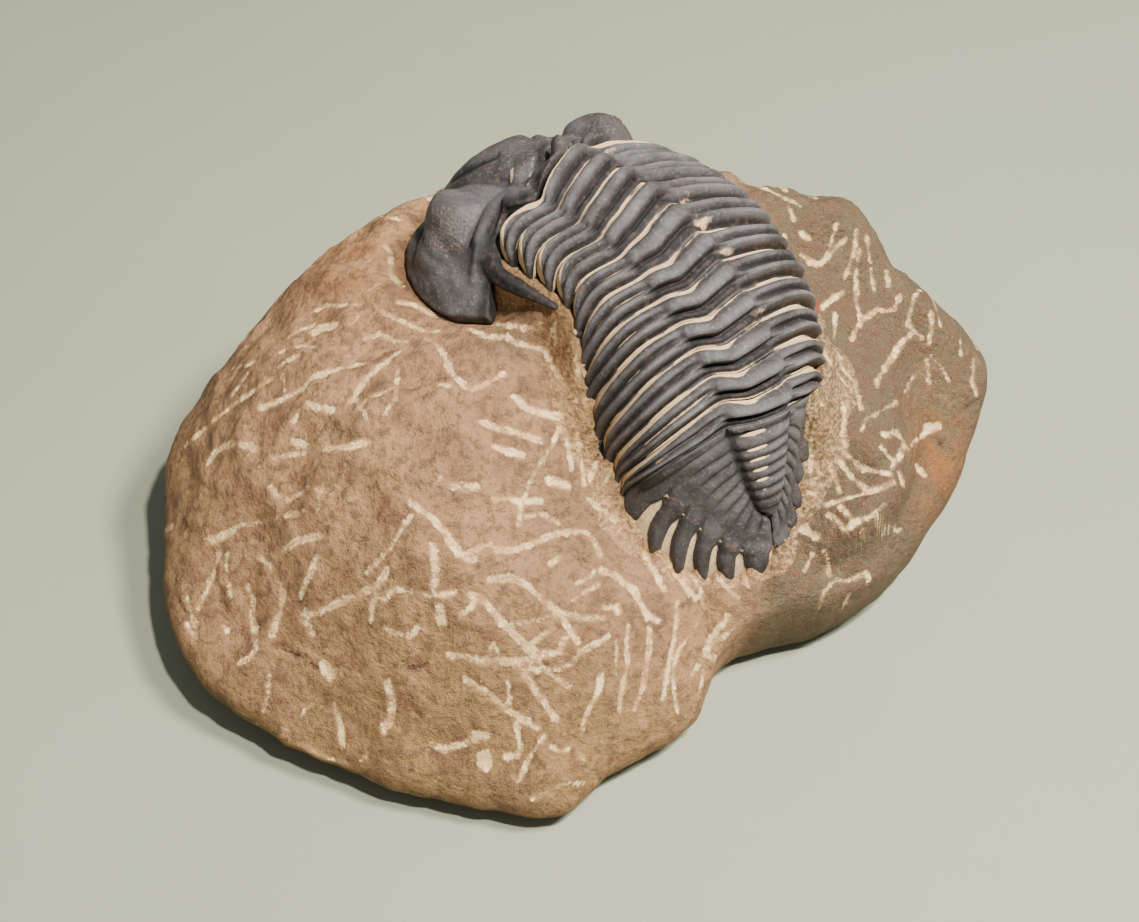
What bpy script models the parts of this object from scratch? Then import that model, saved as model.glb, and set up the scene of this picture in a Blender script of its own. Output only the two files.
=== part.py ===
"""A trilobite standing out of a rounded cobble of its own limestone.

Working units are millimetres, turned into metres when a mesh is written. X runs
along the cobble's long side, Y to its back, Z up, and the cobble rests on Z = 0.
The animal's own frame at each joint is T (towards the tail), R (its right side,
the far side) and N (out of its back).
"""

import math

import bpy
import numpy as np
from mathutils import Vector, kdtree, noise

MM = 0.001

# Cobble: its widest line, round from the left end by way of the back.
ROCK_RIM = (
    (-49.3, -0.6, 11.0), (-49.6, 7.6, 13.0), (-46.5, 14.0, 14.0), (-41.0, 24.0, 15.0),
    (-33.0, 33.5, 16.0), (-19.0, 41.0, 16.0), (-3.5, 43.5, 16.0), (11.0, 42.5, 16.0),
    (23.0, 39.5, 16.0), (35.0, 35.0, 16.0), (45.0, 26.5, 16.0), (51.8, 17.5, 18.0),
    (49.5, 7.5, 14.0), (45.0, -0.4, 12.0), (39.6, -8.2, 10.0), (31.5, -14.4, 8.0),
    (21.0, -18.0, 8.0), (17.2, -21.3, 7.0), (13.7, -27.5, 6.0), (4.8, -33.2, 5.0),
    (-0.8, -37.8, 4.0), (-8.4, -37.8, 4.0), (-21.6, -34.4, 4.5), (-36.6, -27.1, 6.0),
    (-45.7, -18.8, 8.0), (-48.5, -9.4, 9.0),
)
# Heights of its upper side: across, back, up.
ROCK_TOP = (
    (-1.0, -2.0, 33.0), (-13.0, -9.0, 33.5), (-27.0, -7.0, 30.0), (-37.0, -2.5, 25.5),
    (-18.0, -23.0, 22.5), (-8.0, -26.0, 19.5), (3.0, -24.0, 16.5), (8.0, -17.0, 16.5),
    (21.0, -15.0, 11.5), (27.0, -10.5, 14.5), (34.0, -4.0, 19.5), (35.0, 4.0, 24.5),
    (31.0, 15.5, 30.0), (40.0, 14.0, 27.0), (25.0, 23.0, 38.0), (-3.0, 8.0, 37.0),
    (-10.0, 5.0, 36.5), (-20.0, 8.0, 34.0), (-23.0, 23.0, 34.5), (-16.0, -3.0, 35.0),
    (-30.0, -19.0, 18.5), (-38.0, -16.0, 14.5), (-13.0, -31.0, 13.0), (-2.0, -31.0, 12.0),
    (-26.0, -28.0, 11.0), (10.0, 16.0, 38.0), (17.0, 0.0, 27.0), (16.0, -10.5, 14.0),
    (0.0, 34.0, 38.0), (14.0, 33.0, 39.5), (-15.0, 34.0, 36.5), (34.0, 28.0, 35.5),
    (43.0, 18.0, 29.0), (-38.0, 14.0, 26.5), (-30.0, 25.0, 29.8), (-10.0, 22.0, 39.0),
    (41.0, 4.0, 19.5), (8.0, -24.0, 14.5), (2.5, -8.5, 24.5), (29.0, 3.0, 20.5),
)
# Lumps and pits on it: across, back, radius, up (down below zero).
ROCK_LUMPS = (
    (-9.5, 17.0, 2.6, 2.0), (-7.5, 12.5, 2.6, 2.4), (-5.0, 8.5, 2.6, 2.4),
    (-2.5, 4.5, 2.4, 1.8), (-17.5, -30.0, 2.6, -1.4), (29.0, 26.0, 4.0, 1.6),
    (-7.0, -15.0, 3.5, -0.8), (-30.0, 4.0, 5.0, 0.8), (40.0, 9.0, 4.0, -1.0),
    (33.0, 18.0, 5.0, -0.9), (5.0, -29.5, 3.0, 1.0), (-38.0, -10.0, 4.0, -1.0),
    (-22.0, -31.5, 3.2, 1.1), (-4.0, -34.0, 2.4, 1.0), (44.0, 16.0, 3.0, 1.1),
)
# Its mesh: plan point the rings are drawn round, the rings, how round its edge is.
ROCK_CENTRE = (6.0, 11.0)
ROCK_RINGS = (
    0.05, 0.1, 0.15, 0.2, 0.25, 0.3, 0.35, 0.4, 0.45, 0.5, 0.56, 0.63, 0.7, 0.78, 0.86, 0.92, 0.965,
    0.99, 1.0,
)
ROCK_AROUND = 68
ROCK_BASE = 0.86
EDGE_ROUND = 5.0
# Room left below the fossil, and how steeply the stone climbs beside it.
CLEARANCE = 0.5
CLEAR_FLAT = 2.2
CLEAR_SLOPE = 2.2
CLEAR_REACH = 5.0
FILL_REACH = 1.2

# Path of the back: first joint, its heading, then the bend at each of 11 joints.
FIRST_JOINT = (-1.2, 20.9, 46.3)
FIRST_HEADING = (-48.5, -19.5, 2.0)
PITCH_STEPS = (6.0, 6.5, 7.5, 9.0, 9.0, 7.0, 4.5, 4.0, 6.5, 9.5, 12.5)
TURN_STEPS = (0.0, 0.0, 0.0, -0.8, -1.3, -1.3, -1.1, -0.8, -1.3, -2.5, -4.5)
ROLL_STEPS = (0.3, 0.3, 0.3, 0.5, 0.9, 1.1, 0.8, 0.1, -0.5, -1.0, -1.1)
SEGMENT_LENGTH = 3.6
SEGMENTS = 11
GAP_SHARE = 0.045
SHELL = 1.3

# Cross section at a joint.
AXIS_HALF = (4.95, 4.15)
AXIS_RISE = 1.3
INNER_PLEURA = (4.5, 5.5)
OUTER_NEAR = (4.6, 4.6, 4.4, 4.2, 4.4, 6.0, 9.0, 11.2, 12.2, 12.0, 10.8, 9.0)
OUTER_FAR = (6.2, 6.2, 6.4, 6.8, 7.4, 8.0, 8.8, 9.2, 9.2, 8.8, 8.0, 7.0)
BACKWARD = (0.6, 0.6, 0.6, 0.7, 0.8, 1.2, 2.1, 2.9, 3.8, 4.5, 5.3, 6.4)


def unit(v):
    return v / np.linalg.norm(v)


def turned(frame, axis, degrees):
    """The frame turned about one of its own axes."""
    a = math.radians(degrees)
    i, k = (axis + 1) % 3, (axis + 2) % 3
    turn = np.eye(3)
    turn[i, i] = turn[k, k] = math.cos(a)
    turn[i, k] = -math.sin(a)
    turn[k, i] = math.sin(a)
    return frame @ turn


def back_path():
    """(point, frame) at each joint, the columns of the frame being T, R and N."""
    yaw, pitch, roll = FIRST_HEADING
    frame = turned(turned(turned(np.eye(3), 2, yaw), 1, pitch), 0, roll)
    point = np.array(FIRST_JOINT)
    joints = [(point, frame)]
    for step in zip(PITCH_STEPS, TURN_STEPS, ROLL_STEPS):
        half = turned(turned(turned(frame, 1, step[0] / 2), 2, step[1] / 2), 0, step[2] / 2)
        point = point + half[:, 0] * SEGMENT_LENGTH
        frame = turned(turned(turned(frame, 1, step[0]), 2, step[1]), 0, step[2])
        joints.append((point, frame))
    return joints


def curve_through(points, share):
    """The point at a share 0..1 of a Catmull-Rom curve through the points."""
    n = len(points) - 1
    x = min(max(share, 0.0), 1.0) * n
    i = min(int(x), n - 1)
    t = x - i
    p1, p2 = points[i], points[i + 1]
    p0 = points[i - 1] if i > 0 else 2 * p1 - p2
    p3 = points[i + 2] if i + 2 <= n else 2 * p2 - p1
    return 0.5 * (
        2 * p1 + (p2 - p0) * t + (2 * p0 - 5 * p1 + 4 * p2 - p3) * t**2
        + (3 * p1 - p0 - 3 * p2 + p3) * t**3
    )


def pleura_controls(j, side, joints):
    """Five control points of joint j's edge, from the axial furrow to the tip."""
    point, frame = joints[j]
    t_dir, r_dir, n_dir = frame.T
    s = j / SEGMENTS
    half = AXIS_HALF[0] + (AXIS_HALF[1] - AXIS_HALF[0]) * s
    skew = 2.5 - 2.7 * s - 0.28 * s * s
    furrow = point + side * (r_dir * half - t_dir * skew)
    inner = INNER_PLEURA[0] + (INNER_PLEURA[1] - INNER_PLEURA[0]) * s
    slope = math.radians(17.0 if side < 0 else 27.0)
    inner *= 1.0 if side < 0 else 0.85
    sweep = -2.37 + 2.13 * s + 2.13 * s * s
    knee = furrow + side * r_dir * inner * math.cos(slope) - n_dir * inner * math.sin(slope) + t_dir * sweep
    outer = (OUTER_NEAR if side < 0 else OUTER_FAR)[j]
    end = knee + side * r_dir * outer * 0.4 - n_dir * outer * 0.92 + t_dir * BACKWARD[j]
    out = side * r_dir * 0.9 + n_dir * 0.4
    middle = (knee + end) / 2 + out * outer * 0.13
    return [furrow, (furrow + knee) / 2 + n_dir * 0.25, knee, middle, end]


def edge_point(j, side, value, joints):
    """(point, outward normal) on joint j's edge: side 0 is the ring, -1 and 1 the pleurae."""
    point, frame = joints[j]
    t_dir, r_dir, n_dir = frame.T
    if side == 0:
        s = j / SEGMENTS
        half = AXIS_HALF[0] + (AXIS_HALF[1] - AXIS_HALF[0]) * s
        skew = 2.5 - 2.7 * s - 0.28 * s * s
        arch = AXIS_RISE * math.sqrt(max(0.0, 1.0 - value * value))
        place = point + r_dir * half * value - t_dir * skew * value + n_dir * arch
        return place, unit(n_dir + r_dir * value * 0.7)
    controls = pleura_controls(j, side, joints)
    place = curve_through(controls, value)
    ahead = curve_through(controls, min(1.0, value + 0.05))
    behind = curve_through(controls, max(0.0, value - 0.05))
    return place, unit(np.cross(t_dir, side * (ahead - behind)))


PLEURA_STATIONS = (0.12, 0.28, 0.44, 0.6, 0.75, 0.88, 1.0)
RING_STATIONS = (-1.0, -0.82, -0.45, 0.0, 0.45, 0.82, 1.0)
STATIONS = (
    [(-1, v) for v in reversed(PLEURA_STATIONS)]
    + [(0, v) for v in RING_STATIONS]
    + [(1, v) for v in PLEURA_STATIONS]
)
ALONG = (0.0, 0.24, 0.36, 0.52, 0.72, 1.0)
RING_RELIEF = (0.15, 0.2, 1.0, 1.35, 1.45, 1.05)
PLEURA_RELIEF = (0.1, 0.85, 0.7, 0.0, 0.8, 0.3)


def relief_at(side, value, i):
    """How far the plate stands above its joint lines at sample i along the body."""
    if side == 0:
        return RING_RELIEF[i] * (1.0 - value**4) ** 0.5 if abs(value) < 1 else 0.0
    fade = min(1.0, value / 0.12) * (1.0 - 0.35 * value)
    return PLEURA_RELIEF[i] * fade


def plate_mesh(top, bottom, tips):
    """Vertices and faces of a closed plate: rows of stations, front to back, and its end points."""
    verts, faces = [], []
    count, rows = len(top), len(top[0])

    def add(p):
        verts.append(p)
        return len(verts) - 1

    t_id = [[add(p) for p in row] for row in top]
    b_id = [[add(p) for p in row] for row in bottom]
    for i in range(count - 1):
        for k in range(rows - 1):
            faces.append((t_id[i][k], t_id[i + 1][k], t_id[i + 1][k + 1], t_id[i][k + 1]))
        faces.append((b_id[i][0], b_id[i][1], b_id[i + 1][1], b_id[i + 1][0]))
        faces.append((t_id[i][0], b_id[i][0], b_id[i + 1][0], t_id[i + 1][0]))
        faces.append((t_id[i][-1], t_id[i + 1][-1], b_id[i + 1][1], b_id[i][1]))
    for i, tip in ((0, tips[0]), (count - 1, tips[1])):
        end = add(tip)
        for k in range(rows - 1):
            faces.append((end, t_id[i][k], t_id[i][k + 1]))
        faces.append((end, t_id[i][-1], b_id[i][1]))
        faces.append((end, b_id[i][1], b_id[i][0]))
        faces.append((end, b_id[i][0], t_id[i][0]))
    return verts, faces


def segment_mesh(k, joints):
    """Thoracic segment k, between joints k and k + 1."""
    top, bottom, ends = [], [], []
    for side, value in STATIONS:
        a, a_normal = edge_point(k, side, value, joints)
        b, b_normal = edge_point(k + 1, side, value, joints)
        narrow = 1.0 if side == 0 or value < 0.7 else 1.0 - 1.6 * (value - 0.7)
        row = []
        for i, s in enumerate(ALONG):
            share = 0.5 + (GAP_SHARE + s * (1 - 2 * GAP_SHARE) - 0.5) * narrow
            normal = unit(a_normal * (1 - share) + b_normal * share)
            row.append(a * (1 - share) + b * share + normal * relief_at(side, value, i))
        top.append(row)
        shell = SHELL * (1.0 if side == 0 or value < 0.7 else 1.0 - 1.3 * (value - 0.7))
        first = 0.5 + (GAP_SHARE - 0.5) * narrow
        bottom.append([
            a * (1 - first) + b * first - a_normal * shell,
            a * first + b * (1 - first) - b_normal * shell,
        ])
    t_dir = joints[k + 1][1][:, 0]
    for side, at in ((-1, 0), (1, -1)):
        inner = top[1] if at == 0 else top[-2]
        run = unit(top[at][3] - inner[3])
        ends.append(top[at][3] - 0.3 * (top[at][3] - bottom[at][0]) + unit(run + 0.9 * t_dir) * 2.2)
    return plate_mesh(top, bottom, ends)


# Tail shield.
TAIL_LINES = 5
TAIL_AXIS = 10.8
TAIL_STATIONS = (0.16, 0.36, 0.56, 0.78, 1.0)
TAIL_SPINES = (4.0, 4.4, 4.8, 5.0, 4.8)


def tail_line(x, side, value, joints):
    """(point, normal) on the tail shield: x runs 0..1 from its front to the last rib."""
    point, frame = joints[SEGMENTS]
    t_dir, r_dir, n_dir = frame.T
    half = AXIS_HALF[1] * (1 - x) ** 0.85 + 0.9 * x
    back = TAIL_AXIS * x
    centre = point + t_dir * back - n_dir * 0.9 * x
    if side == 0:
        skew = -0.4 * (1 - x)
        arch = (AXIS_RISE + 0.2) * math.sqrt(max(0.0, 1.0 - value * value))
        place = centre + r_dir * half * value - t_dir * skew * value + n_dir * arch
        return place, unit(n_dir + r_dir * value * 0.7)
    first = edge_point(SEGMENTS, side, value, joints)
    sweep = math.radians(44.0 + 41.0 * x**0.8)
    reach = (15.2 * (1 - x) ** 0.9 + 5.4 * x) * (1.0 if side < 0 else 0.62)
    along = reach * value
    out = side * r_dir * math.cos(sweep) + t_dir * math.sin(sweep)
    fall = along * 0.28 + 0.045 * along * along * (1 - 0.45 * x)
    fan = centre + side * r_dir * half + out * along - n_dir * fall
    mix = min(1.0, x / 0.2)
    mix = mix * mix * (3 - 2 * mix)
    place = first[0] * (1 - mix) + fan * mix
    slope = 0.28 + 0.09 * along * (1 - 0.45 * x)
    normal = unit(n_dir + out * slope)
    return place, unit(first[1] * (1 - mix) + normal * mix)


def tail_mesh(joints):
    """The tail shield: rib lines fanning back, a spine at the end of each rib, and the last spine."""
    verts, faces = [], []

    def add(p):
        verts.append(p)
        return len(verts) - 1

    stations = (
        [(-1, v) for v in reversed(TAIL_STATIONS)]
        + [(0, v) for v in (-1.0, -0.7, 0.0, 0.7, 1.0)]
        + [(1, v) for v in TAIL_STATIONS]
    )
    rows = []
    profile = ((0.0, 0.0, 0.0), (0.4, 0.75, 0.75), (0.75, 0.6, 0.65))
    for i in range(TAIL_LINES):
        rows += [((i + s) / TAIL_LINES, ring, rib) for s, ring, rib in profile]
    rows.append((1.0, 0.1, 0.08))
    rows[0] = (0.022, 0.1, 0.08)
    top, bottom = [], []
    for x, ring, rib in rows:
        top_row, bottom_row = [], []
        for side, value in stations:
            place, normal = tail_line(x, side, value, joints)
            ring_height = ring * (1 - abs(value) ** 3) if side == 0 else 0.0
            rib_height = rib * (1 - 0.3 * value) if side else 0.0
            top_row.append(add(place + normal * (ring_height + rib_height)))
            bottom_row.append(add(place - normal * 1.2))
        top.append(top_row)
        bottom.append(bottom_row)
    count = len(stations)
    for i in range(len(rows) - 1):
        for k in range(count - 1):
            faces.append((top[i][k], top[i][k + 1], top[i + 1][k + 1], top[i + 1][k]))
            if i % 3 == 0:
                low = bottom[i + 3]
                faces.append((bottom[i][k], low[k], low[k + 1], bottom[i][k + 1]))
    for k in range(count - 1):
        faces.append((top[0][k], bottom[0][k], bottom[0][k + 1], top[0][k + 1]))
    t_dir = joints[SEGMENTS][1][:, 0]
    n_dir = joints[SEGMENTS][1][:, 2]
    for end, inner in ((0, 1), (count - 1, count - 2)):
        for i in range(TAIL_LINES):
            middle = np.array(verts[top[3 * i + 1][end]])
            run = unit(middle - np.array(verts[top[3 * i + 1][inner]]))
            tip = middle + unit(run * 0.8 + t_dir * 0.9 - n_dir * 0.1) * TAIL_SPINES[i] - n_dir * 0.3
            tip = add(tip)
            for k in range(3):
                faces.append((tip, top[3 * i + k][end], top[3 * i + k + 1][end]))
            faces.append((tip, bottom[3 * i][end], bottom[3 * i + 3][end]))
            faces.append((tip, top[3 * i][end], bottom[3 * i][end]))
            faces.append((tip, top[3 * i + 3][end], bottom[3 * i + 3][end]))
    point, frame = joints[SEGMENTS]
    last = add(point + t_dir * (TAIL_AXIS + 8.6) - n_dir * 6.2)
    for k in range(count - 1):
        faces.append((last, top[-1][k], top[-1][k + 1]))
        faces.append((last, bottom[-1][k], bottom[-1][k + 1]))
    for end in (0, count - 1):
        faces.append((last, top[-1][end], bottom[-1][end]))
    used = sorted({v for face in faces for v in face})
    index = {v: i for i, v in enumerate(used)}
    return [verts[v] for v in used], [tuple(index[v] for v in face) for face in faces]


# Head shield, in its own frame: forward, to the far side, and up out of its top.
HEAD_POINT = (0.3, 22.3, 46.3)
HEAD_HEADING = (-42.0, -19.5, -6.0)
HEAD_CENTRE = (8.0, 0.0, 1.3)
HEAD_MARGIN = (
    (21.5, 0.0, -9.0), (20.8, 6.4, -9.0), (18.4, 12.9, -9.6), (13.0, 16.7, -11.0),
    (6.0, 17.9, -12.2),
)
HEAD_BACK_NEAR = ((1.8, 16.6, -11.6), (2.2, 13.0, -5.4), (2.6, 9.3, -1.2))
HEAD_BACK_FAR = ((5.6, 17.4, -11.6), (5.5, 13.2, -5.4), (5.9, 9.6, -1.2))
# Eyes: middle of each, near then far, then rings of height, length and width shares.
EYE_PLACE = ((8.2, 11.6, -3.1), (8.3, 10.6, -2.0))
EYE_LENGTH = 4.0
EYE_WIDTH = 2.7
EYE_RINGS = ((-4.0, 1.1, 1.2), (-1.6, 1.07, 1.14), (0.6, 1.0, 1.0), (2.0, 0.92, 0.8), (2.5, 0.66, 0.45))
GENAL_ROOT = ((4.8, 15.0, -9.6), (8.0, 15.0, -9.6))
GENAL_TIP = (-9.4, 13.6, -10.6)


def head_frame():
    yaw, pitch, roll = HEAD_HEADING
    frame = turned(turned(turned(np.eye(3), 2, yaw), 1, pitch), 0, roll)
    return np.array(HEAD_POINT), np.column_stack([-frame[:, 0], frame[:, 1], frame[:, 2]])


def head_margin(joints):
    """Points round the head shield's edge in its own frame, from the front round the near side."""
    point, frame = head_frame()
    near = [np.array((a, -r, u)) for a, r, u in HEAD_MARGIN + HEAD_BACK_NEAR]
    far = [np.array(m) for m in HEAD_MARGIN + HEAD_BACK_FAR]
    ring = []
    for value in (-1.0, -0.6, 0.0, 0.6, 1.0):
        place, normal = edge_point(0, 0, value, joints)
        t_dir = joints[0][1][:, 0]
        lift = 0.9 * (1 - value**4) + 0.25
        ring.append(frame.T @ (place - t_dir * 0.2 + normal * lift - point))
    return near + ring + far[:0:-1]


def resampled(points, times):
    """A closed outline with each side cut into steps, rounded where it runs round the front."""
    out = []
    n = len(points)
    for k in range(n):
        p0, p1, p2, p3 = (points[(k + i) % n] for i in (-1, 0, 1, 2))
        front = min(p1[0], p2[0]) > 5.95
        for i in range(times):
            t = i / times
            if front:
                out.append(curve_through([p0, p1, p2, p3], (1 + t) / 3))
            else:
                out.append(p1 + (p2 - p1) * t)
    return out


def head_height(a, r, u):
    """The head's relief added to its dome: glabella, furrows and borders."""
    half = 5.1 + 0.13 * max(a - 4.0, 0.0)
    edge = abs(r) / half
    bump = 0.0
    if 3.6 < a < 20.0:
        bump += 1.0 * max(0.0, 1.0 - edge**4) * min(1.0, (a - 3.6) / 1.5) * min(1.0, (20.0 - a) / 3.0)
    if 2.4 < a < 4.1 and edge < 1.0:
        bump -= 0.7 * (1.0 - abs(a - 3.25) / 0.85)
    if 0.2 < a < 18.0:
        bump -= 0.55 * math.exp(-((edge - 1.08) / 0.12) ** 2)
    return u + bump


def head_mesh(joints):
    """The head shield: a dome over its outline, closed underneath."""
    point, frame = head_frame()
    margin = resampled(head_margin(joints), 3)
    centre = np.array(HEAD_CENTRE)
    shares = (0.2, 0.36, 0.5, 0.62, 0.73, 0.83, 0.92, 1.0)
    verts = [point + frame @ (centre + np.array((0.0, 0.0, 0.75)))]
    for share in shares:
        for m in margin:
            a, r = centre[:2] + (m[:2] - centre[:2]) * share
            u = centre[2] + (m[2] - centre[2]) * share**2.2
            if share < 1.0:
                u = head_height(a, r, u)
            verts.append(point + frame @ np.array((a, r, u)))
    count = len(margin)
    base = len(verts)
    for m in margin:
        a, r = centre[:2] + (m[:2] - centre[:2]) * 0.94
        verts.append(point + frame @ np.array((a, r, m[2] - 1.5)))
    verts.append(point + frame @ np.array((9.0, 0.0, -8.5)))
    faces = []
    for k in range(count):
        n = (k + 1) % count
        faces.append((0, 1 + k, 1 + n))
        for i in range(len(shares) - 1):
            low, high = 1 + i * count, 1 + (i + 1) * count
            faces.append((low + k, high + k, high + n, low + n))
        rim = 1 + (len(shares) - 1) * count
        faces.append((rim + k, base + k, base + n, rim + n))
        faces.append((base + k, base + count, base + n))
    return verts, faces


def blob_mesh(place, radii, frame, rings, around):
    """A closed ellipsoid on the given frame."""
    verts, faces = [place + frame[:, 2] * radii[2]], []
    for i in range(1, rings):
        polar = math.pi * i / rings
        for k in range(around):
            turn = 2 * math.pi * k / around
            local = (math.sin(polar) * math.cos(turn), math.sin(polar) * math.sin(turn), math.cos(polar))
            verts.append(place + frame @ (np.array(local) * np.array(radii)))
    verts.append(place - frame[:, 2] * radii[2])
    for k in range(around):
        n = (k + 1) % around
        faces.append((0, 1 + k, 1 + n))
        for i in range(rings - 2):
            low, high = 1 + i * around, 1 + (i + 1) * around
            faces.append((low + k, high + k, high + n, low + n))
        last = 1 + (rings - 2) * around
        faces.append((last + k, len(verts) - 1, last + n))
    return verts, faces


def eye_mesh(place, frame, side):
    """A kidney-shaped eye: upright lens wall outside, hollow towards the head, low top."""
    verts, faces = [], []
    around = 16
    for up, length, width in EYE_RINGS:
        for k in range(around):
            turn = 2 * math.pi * k / around
            along = math.cos(turn)
            out = math.sin(turn) - 0.45 * along * along + 0.2
            local = (along * EYE_LENGTH * length, side * out * EYE_WIDTH * width, up)
            verts.append(place + frame @ np.array(local))
    verts.append(place + frame @ np.array((0.0, 0.0, EYE_RINGS[-1][0] + 0.1)))
    verts.append(place + frame @ np.array((0.0, 0.0, EYE_RINGS[0][0])))
    last = len(EYE_RINGS) - 1
    for k in range(around):
        n = (k + 1) % around
        for i in range(last):
            low, high = i * around, (i + 1) * around
            faces.append((low + k, low + n, high + n, high + k))
        faces.append((last * around + k, last * around + n, len(verts) - 2))
        faces.append((n, k, len(verts) - 1))
    return verts, faces


def spine_mesh(start, end, frame, side):
    """A closed tapering cheek spine, deep and bowed outwards at its root."""
    verts, faces = [], []
    steps = 6
    for i in range(steps):
        s = i / steps
        size = 1.0 - 0.8 * s
        middle = start + (end - start) * s
        middle = middle + frame[:, 2] * 0.6 * math.sin(math.pi * s)
        middle = middle + frame[:, 1] * side * 1.2 * math.sin(math.pi * s)
        for k in range(8):
            turn = 2 * math.pi * k / 8
            wide = frame[:, 1] * 1.9 * size * math.cos(turn)
            verts.append(middle + wide + frame[:, 2] * 2.9 * size * math.sin(turn))
    verts.append(end)
    for i in range(steps - 1):
        for k in range(8):
            n = (k + 1) % 8
            faces.append((8 * i + k, 8 * i + n, 8 * i + 8 + n, 8 * i + 8 + k))
    for k in range(8):
        faces.append((8 * steps - 8 + k, 8 * steps - 8 + (k + 1) % 8, len(verts) - 1))
    faces.append(tuple(reversed(range(8))))
    return verts, faces


def rim_point(share):
    """The widest line at a share 0..1 of the way round, as a smooth closed curve."""
    n = len(ROCK_RIM)
    i = int(share * n) % n
    t = share * n - int(share * n)
    p0, p1, p2, p3 = (np.array(ROCK_RIM[(i + k) % n]) for k in (-1, 0, 1, 2))
    return 0.5 * (
        2 * p1 + (p2 - p0) * t + (2 * p0 - 5 * p1 + 4 * p2 - p3) * t**2
        + (3 * p1 - p0 - 3 * p2 + p3) * t**3
    )


def height_weights():
    """Weights of the smooth surface through the rim and the upper heights."""
    points = np.array(ROCK_RIM + ROCK_TOP)
    points[len(ROCK_RIM) :, 2] -= EDGE_ROUND
    apart = np.linalg.norm(points[:, None, :2] - points[None, :, :2], axis=2)
    size = len(points)
    system = np.zeros((size + 3, size + 3))
    system[:size, :size] = np.sqrt(apart**2 + 36.0)
    system[:size, size] = 1.0
    system[:size, size + 1 :] = points[:, :2]
    system[size:, :size] = system[:size, size:].T
    return points, np.linalg.solve(system, np.append(points[:, 2], np.zeros(3)))


def rock_height(x, y, points, weights):
    """Height of the upper side above the plan point (x, y)."""
    apart = np.sqrt((points[:, 0] - x) ** 2 + (points[:, 1] - y) ** 2 + 36.0)
    return float(apart @ weights[:-3] + weights[-3] + weights[-2] * x + weights[-1] * y)


def surface_samples(objects):
    """Points spread about 1 mm apart over the surfaces of the fossil, in millimetres."""
    out = []
    for obj in objects:
        mesh = obj.data
        mesh.calc_loop_triangles()
        place = np.array([v.co for v in mesh.vertices]) / MM
        for tri in mesh.loop_triangles:
            a, b, c = place[list(tri.vertices)]
            longest = max(np.linalg.norm(b - a), np.linalg.norm(c - a), np.linalg.norm(c - b))
            n = max(1, int(longest / 1.0) + 1)
            for i in range(n + 1):
                for k in range(n + 1 - i):
                    out.append(a + (b - a) * i / n + (c - a) * k / n)
    return np.array(out)


def rock_relief(x, y):
    """Lumps, hollows and pits of the worn upper side."""
    rise = 0.9 * noise.noise(Vector((x * 0.075, y * 0.075, 3.1)))
    rise += 0.55 * noise.noise(Vector((x * 0.17, y * 0.17, 8.4)))
    for place_x, place_y, radius, up in ROCK_LUMPS:
        far = math.hypot(x - place_x, y - place_y) / radius
        rise += up * math.exp(-far * far)
    return rise


def below_fossil(place, samples, tree):
    """The stone's height at a plan point: filling the shell from below, and clear of it beside."""
    highest = math.inf
    nearest = math.inf
    for _, index, apart in tree.find_range((place[0], place[1], 0.0), CLEAR_REACH):
        climb = max(0.0, apart - CLEAR_FLAT) * CLEAR_SLOPE
        highest = min(highest, samples[index][2] - CLEARANCE + climb)
        nearest = min(nearest, apart)
    return highest if nearest < FILL_REACH else min(place[2], highest)


def rock_mesh(fossil):
    """The cobble, kept clear below the fossil that stands on it."""
    points, weights = height_weights()
    centre = np.array((*ROCK_CENTRE, 0.0))
    rim = [rim_point(k / ROCK_AROUND) for k in range(ROCK_AROUND)]
    place = [np.array((*ROCK_CENTRE, rock_height(*ROCK_CENTRE, points, weights) + EDGE_ROUND))]
    for share in ROCK_RINGS:
        rounding = math.sqrt(1 - share**8)
        for r in rim:
            x, y = (centre + (r - centre) * share)[:2]
            z = rock_height(x, y, points, weights) if share < 1 else r[2]
            z += EDGE_ROUND * rounding + rock_relief(x, y) * (1 - share**6)
            place.append(np.array((x, y, z)))
    for turn in (0.25, 0.5, 0.75, 1.0):
        lean = math.sin(turn * math.pi / 2)
        drop = 1 - math.cos(turn * math.pi / 2)
        for r in rim:
            inward = 1 - (1 - ROCK_BASE) * drop
            x, y = (centre + (r - centre) * inward)[:2]
            place.append(np.array((x, y, r[2] * (1 - lean))))
    place.append(np.array((0.0, 0.0, 0.0)))
    rings = len(ROCK_RINGS) + 4
    faces = []
    for k in range(ROCK_AROUND):
        n = (k + 1) % ROCK_AROUND
        faces.append((0, 1 + k, 1 + n))
        for i in range(rings - 1):
            low, high = 1 + i * ROCK_AROUND, 1 + (i + 1) * ROCK_AROUND
            faces.append((low + k, high + k, high + n, low + n))
        last = 1 + (rings - 1) * ROCK_AROUND
        faces.append((last + k, len(place) - 1, last + n))
    samples = surface_samples(fossil)
    tree = kdtree.KDTree(len(samples))
    for i, p in enumerate(samples):
        tree.insert((p[0], p[1], 0.0), i)
    tree.balance()
    for p in place:
        if p[2] > 1.0:
            p[2] = below_fossil(p, samples, tree)
    return place, faces


def material(name, colour, roughness):
    made = bpy.data.materials.new(name)
    made.use_nodes = True
    shader = made.node_tree.nodes["Principled BSDF"]
    shader.inputs["Base Color"].default_value = (*colour, 1.0)
    shader.inputs["Roughness"].default_value = roughness
    made.diffuse_color = (*colour, 1.0)
    return made


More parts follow.
